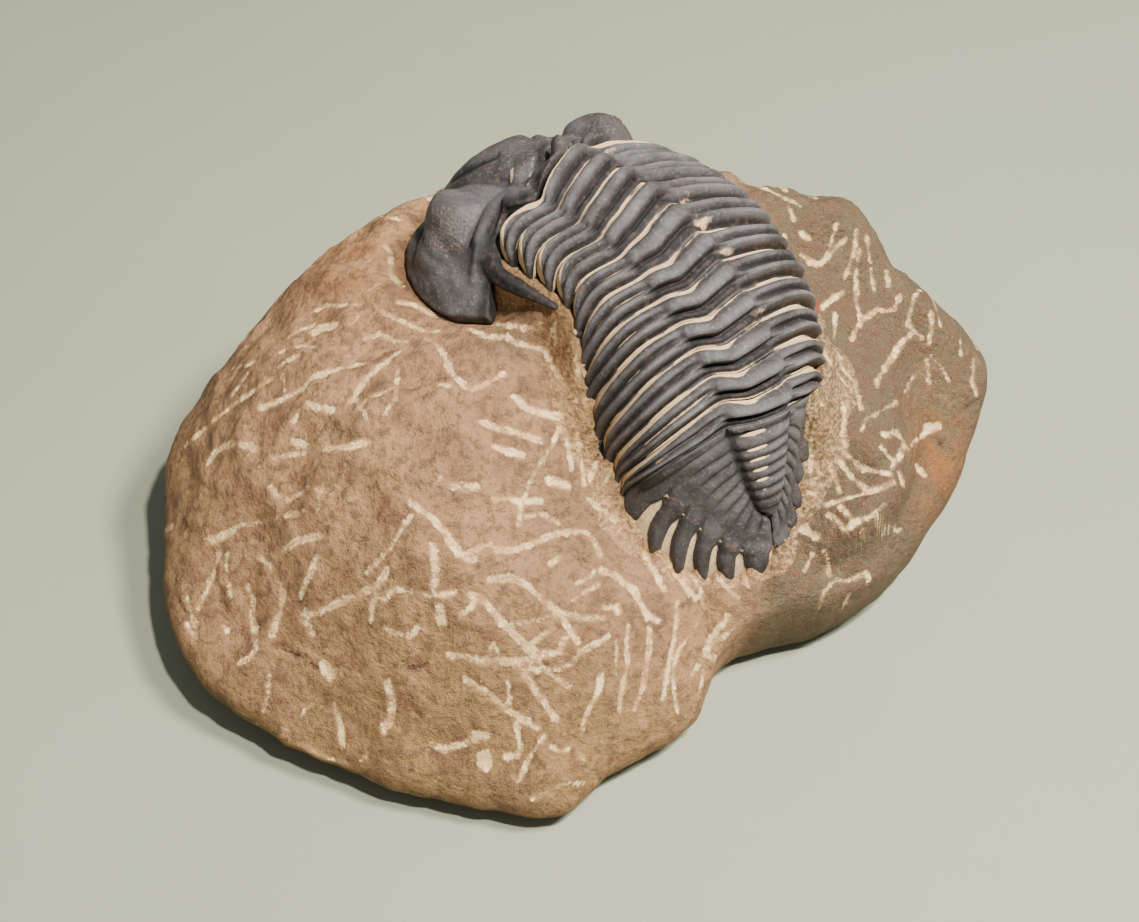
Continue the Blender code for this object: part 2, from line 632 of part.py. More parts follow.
def node(name, shape, look):
    """An object from vertices in millimetres, with its faces turned outwards."""
    verts, faces = shape
    mesh = bpy.data.meshes.new(name)
    mesh.from_pydata([tuple(float(c) * MM for c in v) for v in verts], [], faces)
    mesh.validate()
    obj = bpy.data.objects.new(name, mesh)
    bpy.context.scene.collection.objects.link(obj)
    bpy.context.view_layer.objects.active = obj
    obj.select_set(True)
    bpy.ops.object.mode_set(mode="EDIT")
    bpy.ops.mesh.select_all(action="SELECT")
    bpy.ops.mesh.quads_convert_to_tris()
    bpy.ops.mesh.normals_make_consistent(inside=False)
    bpy.ops.object.mode_set(mode="OBJECT")
    obj.select_set(False)
    obj.data.materials.append(look)
    return obj


def fuse(obj, others):
    """Joins the other bodies to obj as one closed body."""
    for other in others:
        join = obj.modifiers.new("join_" + other.name, "BOOLEAN")
        join.operation = "UNION"
        join.solver = "EXACT"
        join.object = other
        bpy.context.view_layer.objects.active = obj
        bpy.ops.object.modifier_apply(modifier=join.name)
        bpy.data.objects.remove(other)


def main():
    for obj in list(bpy.data.objects):
        bpy.data.objects.remove(obj)
    shell = material("calcite_shell", (0.075, 0.075, 0.085), 0.5)
    stone = material("limestone", (0.36, 0.27, 0.2), 0.85)
    joints = back_path()

    head = node("cephalon", head_mesh(joints), shell)
    point, frame = head_frame()
    grown = []
    for i, side in enumerate((-1, 1)):
        turn = turned(frame, 0, 12.0 * side)
        mirror = np.array((1, side, 1))
        place = point + frame @ (np.array(EYE_PLACE[i]) * mirror)
        grown.append(node(f"eye{side}", eye_mesh(place, turn, side), shell))
        start = point + frame @ (np.array(GENAL_ROOT[i]) * mirror)
        end = point + frame @ (np.array(GENAL_TIP) * mirror)
        grown.append(node(f"genal{side}", spine_mesh(start, end, frame, side), shell))
    knob = point + frame @ np.array((1.6, 0.0, 2.4))
    grown.append(node("knob", blob_mesh(knob, (1.1, 1.0, 1.5), frame, 5, 8), shell))
    fuse(head, grown)

    fossil = [head]
    for k in range(SEGMENTS):
        fossil.append(node(f"thorax_segment_{k + 1:02d}", segment_mesh(k, joints), shell))
    fossil.append(node("pygidium", tail_mesh(joints), shell))
    node("matrix", rock_mesh(fossil), stone)


main()
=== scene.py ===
import math
import bpy
import numpy as np
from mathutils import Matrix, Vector, bvhtree, kdtree, noise


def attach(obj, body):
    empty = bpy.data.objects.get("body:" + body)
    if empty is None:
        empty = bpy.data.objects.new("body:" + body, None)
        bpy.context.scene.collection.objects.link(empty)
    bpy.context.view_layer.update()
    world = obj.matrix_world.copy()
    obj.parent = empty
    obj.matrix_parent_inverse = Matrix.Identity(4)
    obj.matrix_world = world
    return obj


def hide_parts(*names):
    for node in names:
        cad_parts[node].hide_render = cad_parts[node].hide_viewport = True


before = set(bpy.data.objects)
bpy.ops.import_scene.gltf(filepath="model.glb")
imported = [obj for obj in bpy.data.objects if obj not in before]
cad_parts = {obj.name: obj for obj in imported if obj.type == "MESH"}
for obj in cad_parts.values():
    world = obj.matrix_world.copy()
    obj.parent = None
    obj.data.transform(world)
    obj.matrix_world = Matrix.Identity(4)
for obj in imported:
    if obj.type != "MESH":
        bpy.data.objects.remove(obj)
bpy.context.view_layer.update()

mm = 0.001  # lengths below are in millimetres, in the cobble's own frame

# camera
cameraLook = {
    "place": (0.0, -144.63, 192.36),
    "aim": (0.0, 0.0, 20.0),
    "lens": 60.0,
    "sensor": 36.0,
    "near": 0.01,  # metres
    "frame": (1139, 922),
    "scale": 8.4,  # points of the frame to a millimetre of the cobble
}


def makeCamera():
    place = Vector(cameraLook["place"]) * mm
    aim = Vector(cameraLook["aim"]) * mm
    turn = (aim - place).to_track_quat("-Z", "Y").to_euler()
    bpy.ops.object.camera_add(location=place, rotation=turn)
    made = bpy.context.object
    made.name = "studioCamera"
    made.data.lens = cameraLook["lens"]
    made.data.sensor_width = cameraLook["sensor"]
    made.data.clip_start = cameraLook["near"]
    bpy.context.scene.camera = made


makeCamera()
print("camera placed")


def viewRay(x, y):  # through one point of the frame, in millimetres
    place = np.array(cameraLook["place"])
    back = unit(place - np.array(cameraLook["aim"]))
    right = unit(np.cross((0, 0, 1), back))
    up = np.cross(back, right)
    wide, high = cameraLook["frame"]
    focal = cameraLook["lens"] / cameraLook["sensor"] * wide
    return place, unit(right * (x - wide / 2) - up * (y - high / 2) - back * focal)


# small helpers
def unit(v):
    v = np.asarray(v, float)
    return v / np.maximum(np.linalg.norm(v, axis=-1, keepdims=True), 1e-9)


def smooth(x, low, high):  # 0 below low, 1 above high
    t = np.clip((np.asarray(x, float) - low) / (high - low), 0, 1)
    return t * t * (3 - 2 * t)


def bump(x, middle, width):
    return np.exp(-(((np.asarray(x, float) - middle) / width) ** 2))


def curveAt(p0, p1, p2, p3, t):  # the smooth curve between the middle two of four points
    return 0.5 * (2 * p1 + (p2 - p0) * t + (2 * p0 - 5 * p1 + 4 * p2 - p3) * t**2
                  + (3 * p1 - p0 - 3 * p2 + p3) * t**3)


def through(points, share):  # smooth curve through the points, share 0..1, straight on past its end
    points = np.asarray(points, float)
    share = np.asarray(share, float)
    last = len(points) - 1
    padded = np.vstack([2 * points[0] - points[1], points, 2 * points[-1] - points[-2]])
    x = np.clip(share, 0, 1) * last
    i = np.minimum(x.astype(int), last - 1)
    t = (x - i)[..., None]
    place = curveAt(*(padded[i + k] for k in range(4)), t)
    over = np.clip(share - 1, 0, None)[..., None]
    return place + over * last * (points[-1] - points[-2])


def linear(code):  # an sRGB hex colour as linear values
    parts = [int(code[k : k + 2], 16) / 255 for k in (0, 2, 4)]
    return tuple(c / 12.92 if c <= 0.04045 else ((c + 0.055) / 1.055) ** 2.4 for c in parts)


def deselectAll():
    if bpy.context.object and bpy.context.object.mode != "OBJECT":
        bpy.ops.object.mode_set(mode="OBJECT")
    bpy.ops.object.select_all(action="DESELECT")


def pickOnly(obj):
    deselectAll()
    obj.select_set(True)
    bpy.context.view_layer.objects.active = obj


def gridSheet(name, along, across):  # a grid whose x runs along and y across, both 0..1
    deselectAll()
    bpy.ops.mesh.primitive_grid_add(x_subdivisions=along, y_subdivisions=across, size=2)
    obj = bpy.context.object
    obj.name = obj.data.name = name
    flat = coords(obj)
    return obj, (flat[:, 0] + 1) / 2, (flat[:, 1] + 1) / 2


def readPoints(data, key):
    flat = np.empty(len(data) * 3, np.float32)
    data.foreach_get(key, flat)
    return flat.reshape(-1, 3).astype(float)


def coords(obj):
    return readPoints(obj.data.vertices, "co")


def setCoords(obj, places):  # places in millimetres
    obj.data.vertices.foreach_set("co", (np.asarray(places) * mm).astype(np.float32).ravel())
    obj.data.update()


def places(obj):  # millimetres
    return coords(obj) / mm


def normals(obj):
    return readPoints(obj.data.vertex_normals, "vector")


def setMarks(obj, name, columns):  # up to four values a point, kept on the mesh
    values = np.zeros((len(obj.data.vertices), 4), np.float32)
    for k, column in enumerate(columns):
        values[:, k] = column
    if name in obj.data.attributes:
        obj.data.attributes.remove(obj.data.attributes[name])
    kept = obj.data.attributes.new(name, "FLOAT_COLOR", "POINT")
    kept.data.foreach_set("color", values.ravel())


def applyModifier(obj, kind, **settings):
    pickOnly(obj)
    made = obj.modifiers.new(kind, kind)
    for key, value in settings.items():
        setattr(made, key, value)
    bpy.ops.object.modifier_apply(modifier=made.name)


def noiseAt(points, size, seed):  # soft noise, about -1..1, lumps of that size
    shift = np.array((seed * 17.3, seed * 5.1, seed * 9.7))
    return np.array([noise.noise(Vector(p)) for p in (points / size + shift)]) * 1.6


def pointTree(points):
    tree = kdtree.KDTree(len(points))
    for i, p in enumerate(points):
        tree.insert(p, i)
    tree.balance()
    return tree


def nearness(points, targets):  # distance from each point to the nearest target
    tree = pointTree(targets)
    return np.array([tree.find(p)[2] for p in points])


def treeOf(obj):
    faces = [tuple(face.vertices) for face in obj.data.polygons]
    return bvhtree.BVHTree.FromPolygons([tuple(v) for v in places(obj)], faces)


def castLine(tree, line, step=0.25):  # a line drawn in the frame, laid on the surface
    found = []
    for (x0, y0), (x1, y1) in zip(line, line[1:]):
        count = max(1, int(math.hypot(x1 - x0, y1 - y0) / (cameraLook["scale"] * step)))
        for k in range(count + 1):
            start, way = viewRay(x0 + (x1 - x0) * k / count, y0 + (y1 - y0) * k / count)
            hit = tree.ray_cast(Vector(start), Vector(way))
            if hit[0] is not None:
                found.append(tuple(hit[0]))
    return found


# the back's path: 12 joint lines from head to tail
backPath = {
    "firstJoint": (-1.2, 20.9, 46.3),
    "heading": (-48.5, -19.5, 2.0),
    "pitch": (6.0, 6.5, 7.5, 9.0, 9.0, 7.0, 4.5, 4.0, 6.5, 9.5, 12.5),
    "turn": (0.0, 0.0, 0.0, -0.8, -1.3, -1.3, -1.1, -0.8, -1.3, -2.5, -4.5),
    "roll": (0.3, 0.3, 0.3, 0.5, 0.9, 1.1, 0.8, 0.1, -0.5, -1.0, -1.1),
    "length": 3.6,
    "axisHalf": (4.95, 4.15),
    "axisRise": 1.3,
    "skew": (2.5, -2.7, -0.28),  # how far the rings slant forwards: at the head, and its change down the back
    "slopes": (17.0, 20.0),  # of the inner lobes, near and far, in degrees
    "sweepNear": (-2.37, 2.13, 2.13),
    "innerPleura": (4.5, 5.5),
    "outerNear": (4.6, 4.6, 4.4, 4.2, 4.4, 6.0, 9.0, 11.2, 12.2, 12.0, 10.8, 9.0),
    "outerFar": (5.4, 5.4, 5.6, 6.0, 6.6, 7.2, 8.0, 8.6, 8.8, 8.4, 7.6, 6.8),
    "innerFar": (6.8, 7.4, 8.2, 8.6, 9.1, 9.0, 8.6, 8.3, 7.6, 6.5, 5.8, 4.8),
    "sweepFar": (3.6, 3.3, 3.1, 3.1, 2.8, 2.4, 1.9, 1.3, 0.9, 0.6, 0.6, 0.4),
    "hook": (0.4, 0.4, 0.4, 0.4, 0.6, 1.2, 2.0, 2.4, 2.8, 2.6, 2.4, 2.2),
    "backward": (0.6, 0.6, 0.6, 0.7, 0.8, 1.0, 1.6, 2.2, 2.9, 3.6, 4.4, 5.4),
}


def turned(axes, axis, degrees):
    a = math.radians(degrees)
    i, k = (axis + 1) % 3, (axis + 2) % 3
    turn = np.eye(3)
    turn[i, i] = turn[k, k] = math.cos(a)
    turn[i, k] = -math.sin(a)
    turn[k, i] = math.sin(a)
    return axes @ turn


def walkBack():  # (point, axes) at each joint; the axes are tailward, to the far side, and up
    yaw, pitch, roll = backPath["heading"]
    axes = turned(turned(turned(np.eye(3), 2, yaw), 1, pitch), 0, roll)
    point = np.array(backPath["firstJoint"])
    found = [(point, axes)]
    for p, t, r in zip(backPath["pitch"], backPath["turn"], backPath["roll"]):
        half = turned(turned(turned(axes, 1, p / 2), 2, t / 2), 0, r / 2)
        point = point + half[:, 0] * backPath["length"]
        axes = turned(turned(turned(axes, 1, p), 2, t), 0, r)
        found.append((point, axes))
    return found


joints = walkBack()
segmentCount = len(joints) - 1


def ringShape(j):  # share of the way down the back, the ring's half width and its slant
    s = j / segmentCount
    first, last = backPath["axisHalf"]
    start, change, bend = backPath["skew"]
    return s, first * (1 - s) + last * s, start + change * s + bend * s * s


def pleuraLine(j, side):  # six points of joint j's edge, from the axial furrow to the hooked tip
    point, axes = joints[j]
    tailward, across, up = axes.T
    s, half, skew = ringShape(j)
    furrow = point + side * (across * half - tailward * skew)
    if side < 0:
        first, last = backPath["innerPleura"]
        inner = first * (1 - s) + last * s
        start, change, bend = backPath["sweepNear"]
        sweep = start + change * s + bend * s * s
    else:
        inner = backPath["innerFar"][j]
        sweep = backPath["sweepFar"][j]
    slope = math.radians(backPath["slopes"][0 if side < 0 else 1])
    knee = furrow + side * across * inner * math.cos(slope) - up * inner * math.sin(slope)
    knee = knee + tailward * sweep
    outer = backPath["outerNear" if side < 0 else "outerFar"][j]
    end = knee + side * across * outer * 0.4 - up * outer * 0.92 + tailward * backPath["backward"][j]
    middle = (knee + end) / 2 + (side * across * 0.9 + up * 0.4) * outer * 0.13
    hook = end + tailward * backPath["hook"][j] + (side * across * 0.1 - up * 0.35) * backPath["hook"][j]
    return np.array([furrow, (furrow + knee) / 2 + up * 0.25, knee, middle, end, hook])


edgeReach = 2.25  # how far out each edge is known, where 2 is the end of the side lobe
edgeSteps = np.linspace(-edgeReach, edgeReach, 451)


def jointEdge(j):  # joint j's edge from near tip to far tip; |w| < 1 is the ring, past 1 the pleurae
    point, axes = joints[j]
    tailward, across, up = axes.T
    w = edgeSteps
    half, skew = ringShape(j)[1:]
    v = np.clip(w, -1, 1)[:, None]
    arch = up * backPath["axisRise"] * (1 - v * v) ** 0.6
    place = point + across * half * v - tailward * skew * v + arch
    for side in (-1, 1):
        out = side * w > 1
        place[out] = through(pleuraLine(j, side), side * w[out] - 1)
    # ease the corners beside the ring
    ease = 30  # edge steps each way
    kernel = bump(np.arange(-ease, ease + 1) * 0.01, 0, 0.13)
    kernel /= kernel.sum()
    first, last = 2 * place[0] - place[ease:0:-1], 2 * place[-1] - place[-2 : -ease - 2 : -1]
    padded = np.vstack([first, place, last])
    return np.column_stack([np.convolve(padded[:, axis], kernel, mode="valid") for axis in range(3)])


edgeTable = np.array([jointEdge(j) for j in range(segmentCount + 1)])


def edgeAt(j, w):  # the back's smooth surface at path numbers j and positions w
    j = np.clip(np.asarray(j, float), -0.4, segmentCount + 0.4)
    i = np.clip(np.floor(j).astype(int), 0, segmentCount - 1)
    t = (j - i)[:, None]
    x = (np.clip(w, -edgeReach, edgeReach) + edgeReach) / (2 * edgeReach) * (len(edgeSteps) - 1)
    k = np.minimum(x.astype(int), len(edgeSteps) - 2)
    u = (x - k)[:, None]
    rows = []
    for step in (-1, 0, 1, 2):
        n = np.clip(i + step, 0, segmentCount)
        rows.append(edgeTable[n, k] * (1 - u) + edgeTable[n, k + 1] * u)
    rows[0] = np.where((i == 0)[:, None], 2 * rows[1] - rows[2], rows[0])
    rows[3] = np.where((i == segmentCount - 1)[:, None], 2 * rows[2] - rows[1], rows[3])
    return curveAt(*rows, t)


def backSurface(j, w):  # places and outward normals
    place = edgeAt(j, w)
    alongJ = edgeAt(j + 0.12, w) - edgeAt(j - 0.12, w)
    alongW = edgeAt(j, w + 0.02) - edgeAt(j, w - 0.02)
    return place, unit(np.cross(alongJ, alongW))


# thorax
thoraxLook = {
    "along": 44,
    "ringColumns": 70,
    "pleuraColumns": 78,
    "gap": 0.015,
    "thickness": 0.9,
    # share of the segment and height, from each plate's front line to the next
    "ring": ((0, 0.1), (0.06, 0.2), (0.11, 0.6), (0.18, 1.0), (0.3, 1.2), (0.46, 1.25), (0.56, 1.1),
             (0.61, 0.5), (0.65, -0.2), (0.7, -0.1), (0.76, 0.2), (0.86, 0.25), (0.93, 0.0), (1, 0.05)),
    "pleura": ((0, -0.05), (0.05, 0.05), (0.1, 0.45), (0.2, 0.85), (0.32, 0.7), (0.41, 0.2), (0.45, 0.05),
               (0.5, 0.3), (0.6, 0.9), (0.72, 0.95), (0.8, 0.6), (0.87, 0.0), (0.94, -0.25), (1, -0.1)),
    "shift": (0.0, 0.1, 0.15, 0.15, 0.2, 0.4, 0.42, 0.45, 0.42, 0.35, 0.22, 0.0),
    "reach": (1.86, 1.86, 1.87, 1.88, 1.93, 2.0, 2.04, 2.05, 2.05, 2.03, 2.02, 2.0),
    "reachFar": (2.0, 2.0, 2.02, 2.02, 2.04, 2.06, 2.06, 2.06, 2.06, 2.05, 2.04, 2.0),
}


def profile(table, s, soft=9):  # height at share s, with the table's corners eased
    xs, ys = zip(*table)
    steps = np.linspace(0, 1, 401)
    raw = np.interp(steps, xs, ys)
    kernel = np.hanning(2 * soft + 3)[1:-1]
    eased = np.convolve(np.pad(raw, soft, mode="edge"), kernel / kernel.sum(), mode="valid")
    return np.interp(s, steps, eased)


def segmentSheet(k):
    look = thoraxLook
    wide = look["ringColumns"] + 2 * look["pleuraColumns"]
    obj, s, c = gridSheet(f"thoraxPlate{k + 1:02d}", look["along"], wide)
    near, far = look["reach"][k], look["reachFar"][k]
    w = -near + c * (near + far)
    value = np.clip(np.abs(w) - 1, 0, None)
    reach = np.where(w < 0, near, far) - 1
    tip = smooth(value, reach - 0.34, reach)
    narrow = 1.0 - 0.6 * tip**2.5
    share = 0.5 + (look["gap"] + s * (1 - 2 * look["gap"]) - 0.5) * narrow + 0.12 * tip
    j = k + share
    shift = np.interp(j, range(segmentCount + 1), look["shift"]) * smooth(w, -1.05, -0.2)
    place, normal = backSurface(j + shift, w)
    blend = smooth(np.abs(w), 0.88, 1.18)  # 0 on the ring, 1 on the side lobes
    slant = 0.16 * (np.clip(value, 0, 1) - 0.35)  # the pleural furrow runs back towards the tip
    bent = np.clip(s - slant * np.sin(np.pi * s) * blend, 0, 1)
    ring = profile(look["ring"], s) * (1 - 0.4 * np.abs(np.clip(w, -1, 1)) ** 6)
    pleura = profile(look["pleura"], bent) * np.where(w > 0, 1.25, 0.95)
    blade = smooth(value, reach - 0.5, reach - 0.15)  # the tip is one rounded blade
    strip = 0.4 * blade  # share of the plate that is stone beside the blade
    inBlade = np.clip((s - strip) / (1 - strip), 0, 1)
    bladeHeight = 0.65 * np.sin(np.pi * inBlade) ** 0.6 - 0.05
    pleura = pleura * (1 - blade) + bladeHeight * blade * (1 - 0.4 * tip)
    relief = ring * (1 - blend) + pleura * blend
    relief -= 0.3 * bump(w, 1.06, 0.1) + 0.12 * bump(w, -1.04, 0.12)
    relief -= 0.45 * bump(w, 0.9, 0.12) * bump(s, 0.74, 0.12)
    # stone packed in front of the rings, wide in the middle of the back and at its near side by the head
    wedge = smooth(j, 3.2, 5.0) * bump(w, -0.4, 0.3)
    wedge = wedge + 0.7 * smooth(-j, -4.2, -3.0) * bump(w, -0.85, 0.5)
    relief += 0.3 * wedge * bump(s, 0.03, 0.1)
    thin = noiseAt(place, 5.0, 11.0 + k)
    early = smooth(-j, -4.5, -2.5)  # 1 on the first segments
    width = 0.05 + 0.03 * thin + 0.085 * wedge + 0.05 * early
    width = width + 0.06 * smooth(value, 0.15, 0.5) + 0.24 * smooth(value, reach - 0.6, reach - 0.2)
    width = width + 0.07 * smooth(w, 1.1, 1.5)
    collar = 0.22 * (k == 0) * smooth(w, -1.7, -0.9)  # stone left behind the neck
    relief -= 0.5 * (k == 0) * smooth(-s, -0.3, -0.12) * (1 - blend)
    cream = smooth(-(s - width - collar) / 0.05, -1, 1)
    rear = smooth(s + 0.035 * early, 0.955, 0.985) * smooth(thin + 0.5 * early, -0.6, 0.3)
    cream = np.maximum(cream, rear * 0.9)
    cream *= 0.5 + 0.5 * np.clip(blend + wedge + early + bump(w, -0.8, 0.3) + 0.4 * thin, 0, 1)
    # painted shade, partly the furrows' own dark colour: behind each ring, and in each lobe's furrow and rear
    # joint
    dark = np.maximum(bump(s, 0.65, 0.06), 0.82 * smooth(s, 0.6, 0.7))
    dark = dark * smooth(-s, -0.98, -0.9) * (1 - blend)
    joint = smooth(bent, 0.8, 0.88) * smooth(-bent, -1.0, -0.95)
    groove = np.maximum(joint, 0.95 * bump(bent, 0.45, 0.07))
    bladeSides = np.maximum(smooth(s, 0.86, 0.93), 0.8 * bump(s, strip + 0.03, 0.05))
    groove = groove * (1 - blade) + blade * bladeSides
    dark = dark + blend * groove * np.where(w > 0, 1.0, 0.95)
    seam = bump(bent, 0.5, 0.035) * smooth(thin, -0.1, 0.5) * blend * (1 - blade)
    seam = seam * smooth(w, -2.2, -1.9) * (w < 0)
    cream = np.maximum(cream, 0.75 * seam)
    tan = bump(w, 1.05, 0.1) * bump(s, 0.78, 0.2) * 0.62 * smooth(thin, -0.5, 0.4)
    # painted highlight along the ring's crest and the side lobes' ridges
    lobeCrestHighlight = np.maximum(0.8 * bump(bent, 0.24, 0.09), bump(bent, 0.68, 0.11))
    paintedHighlight = (1 - blend) * bump(s, 0.4, 0.16) + blend * lobeCrestHighlight
    relief = relief + 0.05 * noiseAt(place, 2.2, 3.0) + 0.03 * noiseAt(place, 0.8, 6.0)
    place = place + normal * relief[:, None]
    setCoords(obj, place)
    setMarks(obj, "marks", (np.maximum(cream, tan), np.clip(dark, 0, 1), paintedHighlight, np.zeros(len(place))))
    applyModifier(obj, "SOLIDIFY", thickness=look["thickness"] * mm, offset=-1)
    return obj


thoraxPlates = []
for k in range(segmentCount):
    thoraxPlates.append(segmentSheet(k))
print("thorax plates made:", sum(len(p.data.polygons) for p in thoraxPlates), "faces")


# tail shield
tailLook = {
    "rows": 240,
    "columns": 200,
    "axisLength": 12.6,
    "thickness": 0.9,
    # for each rib line: where it leaves the axis, a bend point, the notch at the edge (tailward, outward)
    "ribs": (
        ((0.0, 4.1), (1.0, 9.6), (6.2, 12.6)),
        ((2.3, 3.7), (2.8, 8.2), (7.2, 10.6)),
        ((4.6, 3.2), (5.6, 6.9), (10.0, 9.3)),
        ((6.9, 2.7), (8.2, 5.6), (12.3, 7.8)),
        ((9.2, 2.1), (10.9, 4.1), (14.4, 6.0)),
        ((11.4, 1.5), (13.2, 2.7), (16.3, 3.9)),
        ((12.8, 0.05), (15.0, 0.05), (17.0, 0.05)),
    ),
    "tips": ((11.6, 13.4), (15.0, 11.9), (17.9, 9.9), (19.2, 7.6), (20.0, 5.0), (20.2, 1.6)),
    "farScale": 0.62,
    "spines": (1.16, 0.4),  # length of the near and far spines, as a share of the way to the tips
    "bow": (-0.9, 1.7),
    "rings": 9,
    "fineRibs": 10,
}


def tailHeight(a, b):
    x = np.clip(a / 10.8, 0, 1)
    half = 4.15 * (1 - x) ** 0.85 + 0.9 * x
    d = np.clip(np.abs(b) - half, 0, None)
    return -0.083 * a - 0.28 * d - 0.045 * d * d * (1 - 0.45 * x)


def tailSheet():
    look = tailLook
    obj, x, c = gridSheet("tailPlate", look["rows"], look["columns"])
    ribs = np.array(look["ribs"])
    count = len(ribs) - 1
    x = np.clip(x * count, 0.0, count - 0.02)
    i = np.minimum(x.astype(int), count - 1)
    phase = x - i
    w = (c * 2 - 1) * 2.0
    side = np.sign(w)
    value = np.clip(np.abs(w) - 0.7, 0, None) / 1.3  # 0 at the axis, 1 at the spine tips
    root = 0.6  # share of the lobe's columns that reach the notches
    inner = np.clip(value / root, 0, 1)
    outer = np.clip((value - root) / (1 - root), 0, 1)
    line = ribs[i] * (1 - phase[:, None, None]) + ribs[i + 1] * phase[:, None, None]
    p0, p1, p2 = line[:, 0], line[:, 1], line[:, 2]
    u = inner[:, None]
    flat = p0 * (1 - u) ** 2 + 2 * p1 * u * (1 - u) + p2 * u * u
    # the spines and the stone between them run out to one edge, through the tips
    at = np.append(np.insert(np.arange(count) + 0.5, 0, 0.0), count)
    tips = np.array(look["tips"])
    edge = np.vstack([tips[0] + (tips[0] - tips[1]) * 0.45, tips, (tips[-1][0], 0.05)])
    end = np.column_stack([np.interp(x, at, edge[:, axis]) for axis in (0, 1)])
    nearSpine, farSpine = look["spines"]
    t = outer[:, None] * np.where(side > 0, farSpine, nearSpine)[:, None]
    bow = np.array(look["bow"]) * (t * (1 - t)) * smooth(-x, -count, -count + 1.5)[:, None]
    flat = flat * (1 - t) + end * t + bow
    ax = np.clip(np.abs(w) / 0.7, 0, 1)
    onAxis = np.abs(w) < 0.7
    a = np.where(onAxis, p0[:, 0], flat[:, 0])
    b = np.where(onAxis, p0[:, 1] * ax, flat[:, 1])
    b = np.where((side > 0) & ~onAxis, p0[:, 1] + (np.abs(b) - p0[:, 1]) * look["farScale"], b) * side
    point, axes = joints[segmentCount]
    tailward, across, up = axes.T
    archHeight = 0.3 + 0.7 * np.clip(p0[:, 1] / 4.0, 0, 1)
    arch = np.where(onAxis, 1.4 * (1 - ax**2) ** 0.6 * archHeight, 0.0)
    height = tailHeight(a, b) - 0.5 * outer**1.5 - 0.6 * outer**4
    ringPhase = (a / look["axisLength"]) * look["rings"]
    beat = ringPhase % 1.0
    ringRelief = 0.36 * np.sin(np.pi * beat) ** 0.9 * (a < look["axisLength"])
    ringRelief = ringRelief * smooth(-a, -13.0, -8.0)
    fade = 1 - smooth(inner, 0.42, 0.8)
    fine = np.sin(np.pi * ((x * look["fineRibs"] / count) % 1.0)) ** 0.8
    big = np.sin(np.pi * phase) ** 0.8
    bandFirst = smooth(-x, -1.05, -0.8)
    # a spine's half width as a share of its pitch, and the place across it
    half = 0.5 * (1 - 0.24 * smooth(outer, 0, 0.2) - 0.1 * outer - 0.62 * outer**5)
    acrossSpine = phase - 0.5 + 0.1 * outer
    aside = np.abs(acrossSpine)
    spine = np.sqrt(np.clip(1 - (aside / np.maximum(half, 0.02)) ** 2, 0, 1))
    offAxis, toSpines = smooth(value, 0.0, 0.06), smooth(inner, 0.75, 1.0)
    relief = 0.34 * fine * fade * offAxis + toSpines * (0.85 * spine - 0.25)
    relief += 0.3 * big * bandFirst * (1 - toSpines) * offAxis
    relief = np.where(onAxis, ringRelief + 0.1, relief)
    relief -= 0.25 * bump(np.abs(w), 0.72, 0.07)
    tilt = 0.05
    slopeA = (tailHeight(a + tilt, b) - tailHeight(a - tilt, b)) / (2 * tilt)
    slopeB = (tailHeight(a, b + tilt) - tailHeight(a, b - tilt)) / (2 * tilt)
    place = point + tailward * a[:, None] + across * b[:, None] + up * (height + arch + relief)[:, None]
    lean = np.clip(relief, 0, None)[:, None] * 0.5
    place = place - (tailward * slopeA[:, None] + across * slopeB[:, None]) * lean
    # the front edge follows the last joint line
    front = smooth(-x, -1.1, 0.0)[:, None]
    edgeW = np.where(np.abs(w) < 0.7, w / 0.7, side * (1 + 0.84 * inner + 0.14 * outer))
    edgePlace, edgeNormal = backSurface(np.full(len(w), segmentCount - 0.02), edgeW)
    place = place * (1 - front) + (edgePlace + edgeNormal * (relief * 0.5)[:, None]) * front
    # stone-filled places, dark places of painted shade, and light places of painted highlight
    axisCream = bump(beat, 0.1, 0.12) * bump(w, -0.3, 0.26)
    axisCream = axisCream * smooth(-a, -10.0, -6.5) * smooth(a, 0.8, 1.2)
    notch = bump(phase, 0.0, 0.08) + bump(phase, 1.0, 0.08)
    notch = notch * bump(inner * (outer <= 0), 1.0, 0.05)
    strip = smooth(aside - half, -0.03, 0.05) * smooth(outer, 0.0, 0.1)
    cream = np.where(onAxis, axisCream, np.maximum(notch, strip))
    cream = np.maximum(cream, smooth(-x, -0.12, -0.07) * smooth(inner, 0.85, 0.95))
    # painted shade in the ring joints, rib troughs, axial furrow and along the spines' sides
    ringJoints = np.maximum(bump(beat, 0.0, 0.16), bump(beat, 1.0, 0.1))
    dark = np.where(onAxis, ringJoints, (1 - fine) ** 2 * fade * 0.75)
    dark = np.maximum(dark, 0.6 * bump(np.abs(w), 0.74, 0.08))
    dark = np.maximum(dark, 0.35 * smooth(inner, 0.5, 0.8))
    dark = np.maximum(dark, 0.9 * bump(acrossSpine, half, 0.07) * smooth(outer, 0.02, 0.15))
    # painted highlight on the axial rings, the ribs and the spines
    paintedHighlight = np.where(onAxis, 0.6 * bump(beat, 0.45, 0.22), fine**2 * fade * 0.5)
    paintedHighlight = paintedHighlight + 0.5 * bandFirst * big * ~onAxis
    paintedHighlight = np.maximum(paintedHighlight, 0.45 * smooth(outer, 0, 0.2) * bump(acrossSpine, -0.1, 0.12))
    place = place + up * (0.05 * noiseAt(place, 2.0, 5.0) + 0.03 * noiseAt(place, 0.8, 6.0))[:, None]
    setCoords(obj, place)
    setMarks(obj, "marks", (cream, np.clip(dark, 0, 1), paintedHighlight, np.zeros(len(place))))
    applyModifier(obj, "SOLIDIFY", thickness=look["thickness"] * mm, offset=-1)
    return obj


tailPlate = tailSheet()
print("tail plate made:", len(tailPlate.data.polygons), "faces")


